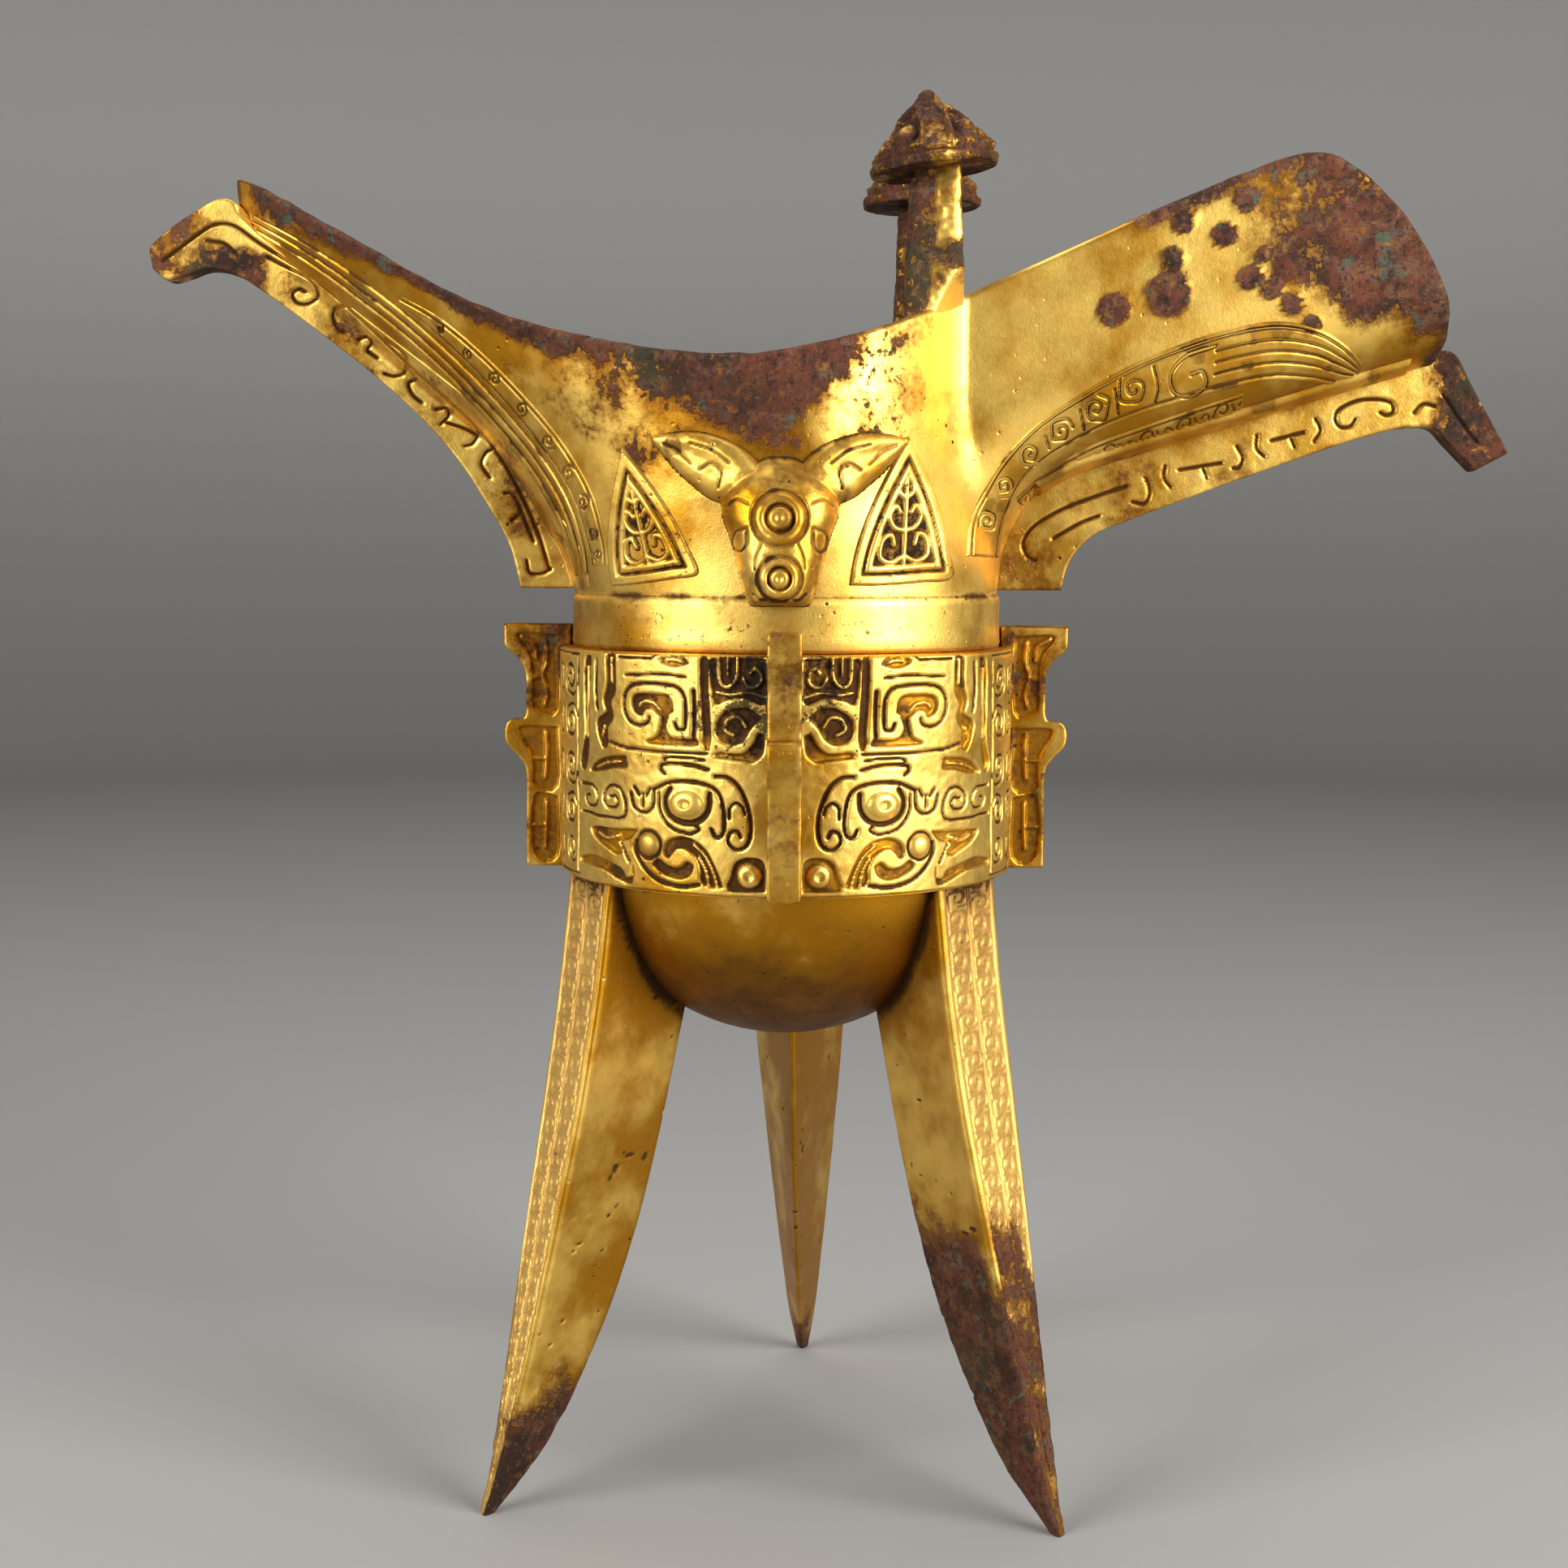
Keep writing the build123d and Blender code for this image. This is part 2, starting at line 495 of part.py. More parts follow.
def build():
    """Shape every piece and write each to its own file."""
    filling = mouth_filling()
    bowl_body = bowl_outside()
    mouth = make_mouth()
    pieces = {"mouth": mouth}
    bowl = make_bowl_blank() - handle_tenons(JOINT_GAP)
    for name, azimuth in LEG_AZIMUTHS.items():
        pieces[name] = make_leg(azimuth, bowl_body)
        bowl = bowl - leg_peg(azimuth, JOINT_GAP)
    for name, reach, azimuth in (("right_flange", SIDE_FLANGE_REACH, 0), ("left_flange", SIDE_FLANGE_REACH, 180),
                                 ("front_flange", FRONT_FLANGE_REACH, 270)):
        pieces[name] = make_flange(reach, azimuth)
        bowl = bowl - Rot(0, 0, azimuth) * flange_tongue(JOINT_GAP)
    pieces["bowl"] = bowl
    pieces["spout_keel"] = make_spout_keel(filling)
    pieces["tail_keel"] = make_tail_keel(filling)
    for side, post, cap in ((-1, "front_post", "front_cap"), (1, "rear_post", "rear_cap")):
        pieces[post] = make_post(side, CAP_TILTS[cap], mouth)
        pieces[cap] = make_cap(side, CAP_TILTS[cap])
    pieces["handle"] = make_handle()
    pieces["front_head"] = make_head(FRONT_HEAD_Z) - filling
    seat_z = HANDLE_TOP_Z + HANDLE_THICKNESS / 2
    pieces["handle_head"] = Rot(0, 0, 180) * make_head(seat_z) - filling - pieces["handle"]
    os.makedirs("parts", exist_ok=True)
    for name, piece in pieces.items():
        export_step(piece, f"parts/{name}.step")


build()
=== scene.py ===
"""Looks of the bronze jue: gilt castings with relief ornament and corrosion, on a pale studio floor.

Sizes in the classes are millimetres in the frame of the CAD model and become metres when a mesh is placed.
"""

import logging
import math
from collections.abc import Callable
from dataclasses import dataclass
from enum import Enum
from typing import ClassVar

import bpy
import numpy as np
from mathutils import Matrix, Vector


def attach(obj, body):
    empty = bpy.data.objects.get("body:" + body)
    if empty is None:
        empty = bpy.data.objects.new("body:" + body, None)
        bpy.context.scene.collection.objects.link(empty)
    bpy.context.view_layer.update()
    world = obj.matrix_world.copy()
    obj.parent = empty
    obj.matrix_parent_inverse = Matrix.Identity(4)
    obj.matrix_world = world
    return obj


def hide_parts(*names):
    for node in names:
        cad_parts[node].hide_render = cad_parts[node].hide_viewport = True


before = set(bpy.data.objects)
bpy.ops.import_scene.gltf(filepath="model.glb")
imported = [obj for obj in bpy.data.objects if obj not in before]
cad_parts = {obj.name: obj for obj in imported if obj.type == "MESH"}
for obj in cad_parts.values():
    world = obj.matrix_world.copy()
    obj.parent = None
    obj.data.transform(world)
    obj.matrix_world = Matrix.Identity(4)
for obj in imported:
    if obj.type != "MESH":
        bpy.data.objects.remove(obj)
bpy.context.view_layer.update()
log = logging.getLogger("jue")

MM = 0.001
BODY = "root"
TINY = 1e-6
Array = np.ndarray
Faces = tuple[int, int]
Spot = tuple[float, float]
Line = tuple[Spot, ...]
Edges = tuple[tuple[float, float, float, float], ...]
Placed = tuple[Array, dict[str, Array]]


class Slot(Enum):
    """Names of the record's material slots, passed along with new pieces."""

    GILT = "gilt_bronze"
    AGED = "aged_bronze"


class Side(Enum):
    """The two halves of the vessel, as the sign of their axis."""

    MINUS = -1
    PLUS = 1


def ease(at: Array | float) -> Array:
    """Zero below 0, one above 1 and a smooth rise between."""
    t = np.clip(at, 0.0, 1.0)
    return t * t * (3 - 2 * t)


def rise(at: Array | float, start: Array | float, width: float) -> Array:
    """Smooth rise from 0 at the start to 1 a width further on."""
    return ease((at - start) / width)


def fall(at: Array | float, start: Array | float, width: float) -> Array:
    """Smooth fall from 1 at the start to 0 a width further on."""
    return 1 - ease((at - start) / width)


def bell(at: Array, middle: float, width: float, power: int = 2) -> Array:
    """Bell curve of 1 at its middle, with a flatter top at a higher power."""
    return np.exp(-(((at - middle) / width) ** power))


def bead(share: Array) -> Array:
    """Rounded profile of 1 near the middle and 0 from a share of 1 on."""
    return fall(share, 0.2, 0.8)


def squared(cos: Array, sin: Array, power: int) -> Array:
    """Reach of a circle with squared corners, which are sharper at a higher power."""
    return 1 / (np.abs(cos) ** power + np.abs(sin) ** power) ** (1 / power)


def monotone(pairs: Line, at: Array | float) -> Array:
    """Monotone cubic through (position, value) pairs, straight past the last pair.

    Args:
        pairs: Positions in rising order with their values.
        at: Positions to look up.

    Returns:
        The value at each position.
    """
    table = np.array(pairs, float)
    xs = table[:, 0]
    ys = table[:, 1]
    slopes = np.diff(ys) / np.diff(xs)
    before = slopes[:-1]
    after = slopes[1:]
    total = np.where(before + after == 0, 1.0, before + after)
    inner = np.where(before * after <= 0, 0.0, 2 * before * after / total)
    tangents = np.concatenate([slopes[:1], inner, slopes[-1:]])
    at = np.asarray(at, float)
    k = np.clip(np.searchsorted(xs, at, side="right") - 1, 0, len(xs) - 2)
    width = xs[k + 1] - xs[k]
    t = np.clip((at - xs[k]) / width, 0.0, 1.0)
    start = (1 + 2 * t) * (1 - t) ** 2 * ys[k] + t * (1 - t) ** 2 * width * tangents[k]
    end = t * t * (3 - 2 * t) * ys[k + 1] + t * t * (t - 1) * width * tangents[k + 1]
    return start + end + np.where(at > xs[-1], slopes[-1] * (at - xs[-1]), 0.0)


def smooth_line(points: Line | Edges, steps: int = 8) -> Array:
    """Rounded line through points.

    Args:
        points: Corners that the line passes through.
        steps: Stretches drawn between two corners.

    Returns:
        Points along the line, one row each.
    """
    p = np.array(points, float)
    if len(p) == 2:
        return p
    padded = np.concatenate([[2 * p[0] - p[1]], p, [2 * p[-1] - p[-2]]])
    t = np.linspace(0, 1, steps, endpoint=False)[:, None]
    runs = []
    for a, b, c, d in zip(padded, padded[1:], padded[2:], padded[3:]):
        bend = (2 * a - 5 * b + 4 * c - d) * t**2 + (3 * b - a - 3 * c + d) * t**3
        runs.append(0.5 * (2 * b + (c - a) * t + bend))
    return np.concatenate([*runs, p[-1:]])


def lengths(line: Array) -> Array:
    """Distance along a line at each of its points."""
    return np.concatenate([[0], np.cumsum(np.linalg.norm(np.diff(line, axis=0), axis=1))])


def along_line(at: Array, marks: Array, line: Array) -> Array:
    """Points of a line at distances along it, whose marks are the distances of its own points."""
    return np.stack([np.interp(at, marks, line[:, k]) for k in range(line.shape[1])], 1)


def line_distance(u: Array, v: Array, line: Array) -> Array:
    """Distance of flat points from a line of straight stretches.

    Args:
        u: First coordinates of the points.
        v: Second coordinates of the points.
        line: Corners of the line, one row each.

    Returns:
        The distance of each point.
    """
    a = line[:-1]
    step = line[1:] - a
    span = np.maximum((step**2).sum(1), 1e-12)
    du = u[:, None] - a[:, 0]
    dv = v[:, None] - a[:, 1]
    t = np.clip((du * step[:, 0] + dv * step[:, 1]) / span, 0.0, 1.0)
    return np.sqrt(((du - t * step[:, 0]) ** 2 + (dv - t * step[:, 1]) ** 2).min(1))


def depth_inside(u: Array, v: Array, closed: Array) -> Array:
    """Distance of flat points inside a closed line.

    Args:
        u: First coordinates of the points.
        v: Second coordinates of the points.
        closed: Corners of the line, whose last one repeats the first.

    Returns:
        The distance of each point from the line, negative outside it.
    """
    a = closed[:-1]
    b = closed[1:]
    over = (a[:, 1] > v[:, None]) != (b[:, 1] > v[:, None])
    climb = np.where(b[:, 1] == a[:, 1], 1e-9, b[:, 1] - a[:, 1])
    cross = a[:, 0] + (v[:, None] - a[:, 1]) / climb * (b[:, 0] - a[:, 0])
    inside = (over & (u[:, None] < cross)).sum(1) % 2 == 1
    far = line_distance(u, v, closed)
    return np.where(inside, far, -far)


def spiral(centre: Spot, radius: float, turns: float, start: float, way: int, square: float) -> Line:
    """Corners of a spiral that winds in to its centre.

    Args:
        centre: Middle of the spiral.
        radius: Reach of its outer end.
        turns: How often it goes round.
        start: Angle of the outer end, in degrees.
        way: 1 to wind left, -1 to wind right.
        square: How far the turns lean towards a square, from 0 to 1.

    Returns:
        The corners from the outer end to the middle.
    """
    winding = 0.86
    count = max(6, int(turns * 9))
    corners = []
    for k in range(count + 1):
        share = k / count
        angle = math.radians(start) + way * share * turns * math.tau
        reach = radius * (1 - winding * share)
        boxed = reach / max(abs(math.cos(angle)), abs(math.sin(angle)))
        reach = (1 - square) * reach + square * boxed
        corners.append((centre[0] + reach * math.cos(angle), centre[1] + reach * math.sin(angle)))
    return tuple(corners)


def about_axis(flat: Array, z: Array, azimuth: float) -> Array:
    """Points of an upright plane, given by reach and sideways place, turned to an azimuth in radians."""
    turned = (flat[:, 0] + 1j * flat[:, 1]) * np.exp(1j * azimuth)
    return np.stack([turned.real, turned.imag, z], 1)


class Lumps:
    """Repeatable lumpy noise on a lattice, from 0 to 1."""

    cells = 32

    def __init__(self, seed: int) -> None:
        """Fills the lattice from a fixed seed."""
        self.table = np.random.default_rng(seed).random((self.cells, self.cells, self.cells))

    def at(self, points: Array, size: float) -> Array:
        """Noise at points.

        Args:
            points: Places, one row each.
            size: Width of a lump in the points' unit.

        Returns:
            One value from 0 to 1 for each point.
        """
        spot = points / size
        cell = np.floor(spot).astype(int)
        part = ease(spot - cell)
        total = np.zeros(len(points))
        for corner in np.ndindex(2, 2, 2):
            weight = np.abs(1 - np.array(corner) - part).prod(1)
            index = (cell + corner) % self.cells
            total += weight * self.table[index[:, 0], index[:, 1], index[:, 2]]
        return total

    def rough(self, points: Array, size: float) -> Array:
        """Three sizes of lumps added up, from 0 to 1."""
        return sum(self.at(points, size / split) / split for split in (1, 2, 4)) / 1.75

    def waver(self, points: Array, size: float) -> Array:
        """Rough lumps on both sides of zero."""
        return self.rough(points, size) - 0.5

    def patches(self, points: Array, size: float, start: float = 0.56, width: float = 0.1) -> Array:
        """Separate patches where the rough lumps are highest, from 0 to 1."""
        return rise(self.rough(points, size), start, width)


class Relief:
    """Ornament as heights over flat coordinates: land with cut lines and raised bosses."""

    def __init__(self, u: Array, v: Array) -> None:
        """Starts with bare land over the given flat points.

        Args:
            u: Places of the points across.
            v: Places of the points upwards.
        """
        self.u = u
        self.v = v
        self.cut = np.zeros(u.shape)
        self.sunk = np.zeros(u.shape)
        self.rise = np.zeros(u.shape)

    def near(self, line: Array, margin: float) -> Array:
        """Which points lie in the box round a line.

        Args:
            line: Points of the line.
            margin: Room round it.

        Returns:
            True where a point lies in the box.
        """
        low = line.min(0) - margin
        high = line.max(0) + margin
        return (self.u > low[0]) & (self.u < high[0]) & (self.v > low[1]) & (self.v < high[1])

    def pocket(self, depth: float, points: Line, soft: float = 0.35) -> None:
        """Sinks the land inside a closed smooth line.

        Args:
            depth: How far the ground lies below the land.
            points: Corners of the line.
            soft: Width of the slope at its border.
        """
        line = smooth_line((*points, points[0]), 4)
        near = self.near(line, soft)
        if near.any():
            deep = depth_inside(self.u[near], self.v[near], line)
            self.sunk[near] = np.maximum(self.sunk[near], depth * ease(deep / soft + 0.4))

    def height(self) -> Array:
        """Height over the land: sunk grounds with their ridges, then the cut lines."""
        return self.rise - np.maximum(self.sunk, self.cut)

    def amber(self, depth: float = 0.45) -> Array:
        """How far the sunk grounds show between their ridges, from 0 to 1."""
        return np.clip(self.sunk / depth, 0, 1) * fall(self.rise, 0.1, 0.25)

    def dirt(self, depth: float = 0.45) -> Array:
        """How dirty the cut lines are, from 0 to 1."""
        return np.clip(self.cut / depth, 0, 1)

    def groove(self, width: float, depth: float, points: Line, steps: int = 8) -> None:
        """Cuts a rounded groove along a smooth line."""
        self.mark(self.cut, width, depth, smooth_line(points, steps))

    def ridge(self, width: float, height: float, points: Line, steps: int = 8) -> None:
        """Raises a rounded bead along a smooth line."""
        self.mark(self.rise, width, height, smooth_line(points, steps))

    def stripe(self, far: Array, width: float, depth: float) -> None:
        """Cuts a rounded groove where a distance is small."""
        self.cut = np.maximum(self.cut, depth * bead(far / (width / 2)))

    def mark(self, heights: Array, width: float, amount: float, line: Array) -> None:
        """Takes a line into the cuts or the rises.

        Args:
            heights: The cuts or the rises.
            width: Full width of the line.
            amount: Depth or height in its middle.
            line: Points of the line.
        """
        near = self.near(line, width)
        if near.any():
            share = line_distance(self.u[near], self.v[near], line) / (width / 2)
            heights[near] = np.maximum(heights[near], amount * bead(share))

    def boss(self, centre: Spot, radii: Spot, height: float, pit: float = 0.0) -> None:
        """Raises a dome, with a round pit in its top if asked.

        Args:
            centre: Middle of the dome.
            radii: Its reach in both directions.
            height: Its height.
            pit: Depth of the pit.
        """
        share = np.hypot((self.u - centre[0]) / radii[0], (self.v - centre[1]) / radii[1])
        dome = height * np.sqrt(np.clip(1 - share**2, 0, None))
        self.rise = np.maximum(self.rise, dome - pit * fall(share, 0.2, 0.22) * (share < 1))

    def ring(self, centre: Spot, radii: Spot, width: float, depth: float) -> None:
        """Cuts a closed ring.

        Args:
            centre: Middle of the ring.
            radii: Its reach in both directions.
            width: Width of the cut.
            depth: Depth of the cut.
        """
        turns = [math.radians(20 * k) for k in range(19)]
        points = [(centre[0] + radii[0] * math.cos(a), centre[1] + radii[1] * math.sin(a)) for a in turns]
        self.groove(width, depth, points, 3)


class Value:
    """A shader value that adds Math nodes when it stands in an expression."""

    def __init__(self, net: "Net", socket: bpy.types.NodeSocket) -> None:
        """Wraps one output socket of a net."""
        self.net = net
        self.socket = socket

    def __add__(self, other: "Value | float") -> "Value":
        """Sum."""
        return self.net.sum("ADD", self, other)

    __radd__ = __add__

    def __sub__(self, other: "Value | float") -> "Value":
        """Difference."""
        return self.net.sum("SUBTRACT", self, other)

    def __rsub__(self, other: float) -> "Value":
        """Difference from a number."""
        return self.net.sum("SUBTRACT", other, self)

    def __mul__(self, other: "Value | float") -> "Value":
        """Product."""
        return self.net.sum("MULTIPLY", self, other)

    __rmul__ = __mul__

    def step(self, low: float, high: float) -> "Value":
        """Smooth rise from 0 at the low value to 1 at the high one."""
        inputs = {"Value": self, "From Min": low, "From Max": high}
        return self.net.node("ShaderNodeMapRange", {"interpolation_type": "SMOOTHSTEP"}, inputs)


class Net:
    """Node net of one material."""

    def __init__(self, name: str) -> None:
        """Makes an empty material with its shader and output.

        Args:
            name: Name of the material.
        """
        self.material = bpy.data.materials.new(name)
        self.material.use_nodes = True
        self.tree = self.material.node_tree
        self.tree.nodes.clear()
        self.shader = self.tree.nodes.new("ShaderNodeBsdfPrincipled")
        output = self.tree.nodes.new("ShaderNodeOutputMaterial")
        self.tree.links.new(self.shader.outputs["BSDF"], output.inputs["Surface"])
        self.place = self.node("ShaderNodeTexCoord", None, None, "Object")

    def node(self, kind: str, settings: dict | None, inputs: dict | None, output: int | str = 0) -> Value:
        """Adds a node.

        Args:
            kind: Type name of the node.
            settings: Its properties, set first.
            inputs: Its sockets by name or number, each with a value or a link.
            output: The socket that is returned.

        Returns:
            The chosen output as a value.
        """
        made = self.tree.nodes.new(kind)
        for key, value in (settings or {}).items():
            setattr(made, key, value)
        for key, value in (inputs or {}).items():
            self.feed(made.inputs[key], value)
        return Value(self, made.outputs[output])

    def feed(self, socket: bpy.types.NodeSocket, value: "Value | float | tuple") -> None:
        """Links a value to a socket, or sets a number or colour on it.

        Args:
            socket: The socket.
            value: What goes into it.
        """
        if isinstance(value, Value):
            self.tree.links.new(value.socket, socket)
        elif isinstance(value, tuple) and socket.type == "RGBA":
            socket.default_value = (*value, 1.0)
        else:
            socket.default_value = value

    def surface(self, **inputs: "Value | float | tuple") -> None:
        """Feeds sockets of the shader, named with an underscore for each space."""
        for name, value in inputs.items():
            self.feed(self.shader.inputs[name.replace("_", " ")], value)

    def sum(self, operation: str, a: "Value | float", b: "Value | float") -> Value:
        """Math node of two values."""
        return self.node("ShaderNodeMath", {"operation": operation}, {0: a, 1: b})

    def blend(self, share: Value, a: "Value | tuple", b: "Value | tuple") -> Value:
        """Colour between two colours."""
        return self.node("ShaderNodeMix", {"data_type": "RGBA"}, {0: share, 6: a, 7: b}, 2)

    def attribute(self, name: str) -> Value:
        """Value painted on the piece, zero where it has none."""
        return self.node("ShaderNodeAttribute", {"attribute_name": name}, None, "Fac")

    def level(self) -> Value:
        """Height over the floor."""
        return self.node("ShaderNodeSeparateXYZ", None, {"Vector": self.place}, "Z")

    def noise(self, size: float, detail: float, rough: float = 0.55) -> Value:
        """Cloudy noise with lumps of a size in millimetres."""
        values = {"Vector": self.place, "Scale": 1 / (size * MM), "Detail": detail, "Roughness": rough}
        return self.node("ShaderNodeTexNoise", None, values, "Fac")

    def cells(self, size: float) -> Value:
        """Distance from the nearest of many scattered points that lie a size in millimetres apart."""
        values = {"Vector": self.place, "Scale": 1 / (size * MM)}
        return self.node("ShaderNodeTexVoronoi", {"feature": "F1"}, values, "Distance")


class Grain:
    """Noises of one material from wide to fine, and the values painted on its pieces."""

    def __init__(self, net: Net) -> None:
        """Adds the noises and the painted values to a net.

        Args:
            net: Net of the material.
        """
        self.cloud = net.noise(14, 4)
        self.blotch = net.noise(5, 5, 0.6)
        self.spot = net.noise(2.2, 5, 0.65)
        self.grit = net.noise(1.0, 4, 0.65)
        self.fine = net.noise(0.3, 3, 0.6)
        self.grime = net.attribute("grime")
        self.patina = net.attribute("patina")
        self.matte = net.attribute("matte")
        # shade: painted shade on shadowed parts, and the amber of sunk grounds
        self.shade = net.attribute("shade")
        self.soot = net.attribute("soot")
        self.pits = (1 - net.cells(2.6).step(0.05, 0.14)) * self.cloud.step(0.48, 0.6)

    def crumbled(self) -> Value:
        """Where corrosion has eaten the gilding away, broken up at its borders.

        Returns:
            1 where the gilding is gone.
        """
        crumbs = (self.blotch - 0.5) * 1.7 + (self.spot - 0.5) * 1.2 + (self.grit - 0.5) * 1.0
        flecks = (0.6 * self.grit + 0.5 * self.spot).step(0.6, 0.67)
        return (self.patina + crumbs).step(0.44, 0.6) * self.patina.step(0.02, 0.2) * (1 - 0.75 * flecks)

    def halo(self) -> Value:
        """Where a brown film lies on the gilding round the corrosion."""
        cover = self.patina + (self.blotch - 0.5) * 1.3 + (self.grit - 0.5) * 0.7
        return cover.step(0.05, 0.5) * self.patina.step(0.0, 0.12)


@dataclass(frozen=True)
class Metalwork:
    """Gilt bronze, brown in recesses and amber under painted shade, with corroded crust where painted so."""

    name: str
    bright: tuple = (0.9, 0.59, 0.13)
    amber: tuple = (0.44, 0.196, 0.009)
    brown: tuple = (0.066, 0.026, 0.006)
    film: tuple = (0.17, 0.062, 0.01)
    dry: tuple = (0.72, 0.45, 0.15)
    red: tuple = (0.125, 0.036, 0.016)
    umber: tuple = (0.03, 0.014, 0.008)
    plum: tuple = (0.18, 0.085, 0.056)
    olive: tuple = (0.045, 0.042, 0.018)
    soot: tuple = (0.012, 0.009, 0.007)
    green: tuple = (0.05, 0.105, 0.072)
    # shade: painted shade laid over the whole material
    shade: float = 0.0
    # painted shade with a brown film on the bowl's underside, and the specks that go with it
    underside_film_and_shade: float = 0.0
    underside_shade_low: float = 68.0
    underside_shade_high: float = 99.0
    underside_soot: float = 0.35
    gloss: float = 0.14
    bump: float = 0.55
    bump_depth: float = 0.2

    def build(self) -> bpy.types.Material:
        """Makes the material.

        Returns:
            The finished material.
        """
        net = Net(self.name)
        grain = Grain(net)
        under = self.under(net, grain)
        corroded = grain.crumbled()
        halo = grain.halo()
        speckle = 0.36 * grain.spot + 0.4 * grain.grit + 0.24 * grain.fine
        specks = ((grain.soot + self.underside_soot * self.underside_film_and_shade) * 0.34 + speckle).step(0.69, 0.76)
        # film: brown film round the corrosion, and painted shade on the bowl's underside
        film = net.sum("MAXIMUM", halo * 0.9, under * 0.85)
        # dirt: grime and pits, with painted shade darkening the bowl's underside
        dirt = grain.grime * (0.5 + 1.0 * grain.grit) + 0.6 * grain.pits + under * (0.2 + 0.5 * grain.blotch)
        dark = dirt.step(0.1, 0.8)
        tone = net.blend(film, self.gilding(net, grain, under), self.film)
        gold = net.blend(specks * 0.9, net.blend(dark, tone, self.brown), self.soot)
        smooth = 0.29 + 0.14 * grain.blotch + 0.12 * grain.grit + 0.25 * dark + 0.2 * specks
        smooth = smooth + 0.06 * halo + 0.16 * grain.matte
        height = (0.26 + 0.5 * grain.matte) * grain.grit + (0.26 + 0.4 * grain.matte) * grain.fine
        crust = 1.3 * grain.blotch + 1.5 * grain.grit + 1.1 * grain.spot + 0.4 * grain.fine
        height = height - 0.7 * grain.pits + corroded * crust
        bump = {"Strength": self.bump, "Distance": self.bump_depth * MM, "Height": height}
        net.surface(
            Base_Color=net.blend(corroded, gold, self.rust(net, grain)),
            Roughness=smooth + corroded * (0.62 + 0.2 * grain.spot - smooth),
            Metallic=(1 - 0.4 * dark) * (1 - 0.85 * corroded) * (1 - 0.7 * specks),
            Specular_IOR_Level=self.gloss,
            Normal=net.node("ShaderNodeBump", None, bump),
        )
        return net.material

    def under(self, net: Net, grain: Grain) -> Value:
        """Brown film and painted shade that thicken towards the underside of the bowl."""
        low = 1.15 - net.level().step(self.underside_shade_low * MM, self.underside_shade_high * MM)
        return (low + (grain.cloud - 0.5) * 1.2 + (grain.blotch - 0.5) * 0.8).step(0.1, 1.05) * self.underside_film_and_shade

    def gilding(self, net: Net, grain: Grain, under: Value) -> Value:
        """Clean gilding, from bright to amber as noise and painted shade lean it, dry where it is worn matte.

        Args:
            net: The material's net.
            grain: Its noises and painted values.
            under: The film on the underside.

        Returns:
            The colour.
        """
        lean = (grain.cloud - 0.46) * 2.6 + (grain.blotch - 0.5) * 1.2
        # painted shade, the material's, the piece's and the underside's, leans the gilding to amber
        lean = lean + self.shade + grain.shade + 1.2 * under
        clean = net.blend(lean.step(-0.1, 1.0), self.bright, self.amber)
        return net.blend(grain.matte * 0.65, clean, self.dry)

    def rust(self, net: Net, grain: Grain) -> Value:
        """Crust of umber and red with olive, plum, green and black in it.

        Args:
            net: The material's net.
            grain: Its noises and painted values.

        Returns:
            The colour.
        """
        patches = net.noise(16, 3).step(0.53, 0.66)
        bloom = (net.noise(3.0, 5, 0.7) + 0.3 * grain.cloud).step(0.745, 0.8)
        black = 1 - (0.6 * grain.grit + 0.4 * grain.fine).step(0.39, 0.5)
        colour = net.blend((grain.cloud * 0.5 + grain.blotch * 0.6).step(0.45, 0.65), self.umber, self.red)
        colour = net.blend(patches * 0.75, colour, self.olive)
        colour = net.blend((grain.spot + 0.3 * grain.cloud).step(0.62, 0.8) * 0.65, colour, self.plum)
        # painted shade also darkens the crust towards umber
        colour = net.blend(grain.shade * 0.6, colour, self.umber)
        colour = net.blend(bloom * 0.6, colour, self.green)
        return net.blend(black * 0.8, colour, self.soot)


@dataclass(frozen=True)
class Lamp:
    """Soft square lamp aimed at the middle of the vessel, in metres and watts."""

    name: str
    place: tuple
    size: float
    power: float
    aim: tuple = (0, 0, 0.12)

    def build(self) -> None:
        """Adds the lamp."""
        data = bpy.data.lights.new(self.name, "AREA")
        data.size = self.size
        data.energy = self.power
        lamp = bpy.data.objects.new(self.name, data)
        bpy.context.scene.collection.objects.link(lamp)
        lamp.location = self.place
        lamp.rotation_euler = (Vector(self.aim) - Vector(self.place)).to_track_quat("-Z", "Y").to_euler()


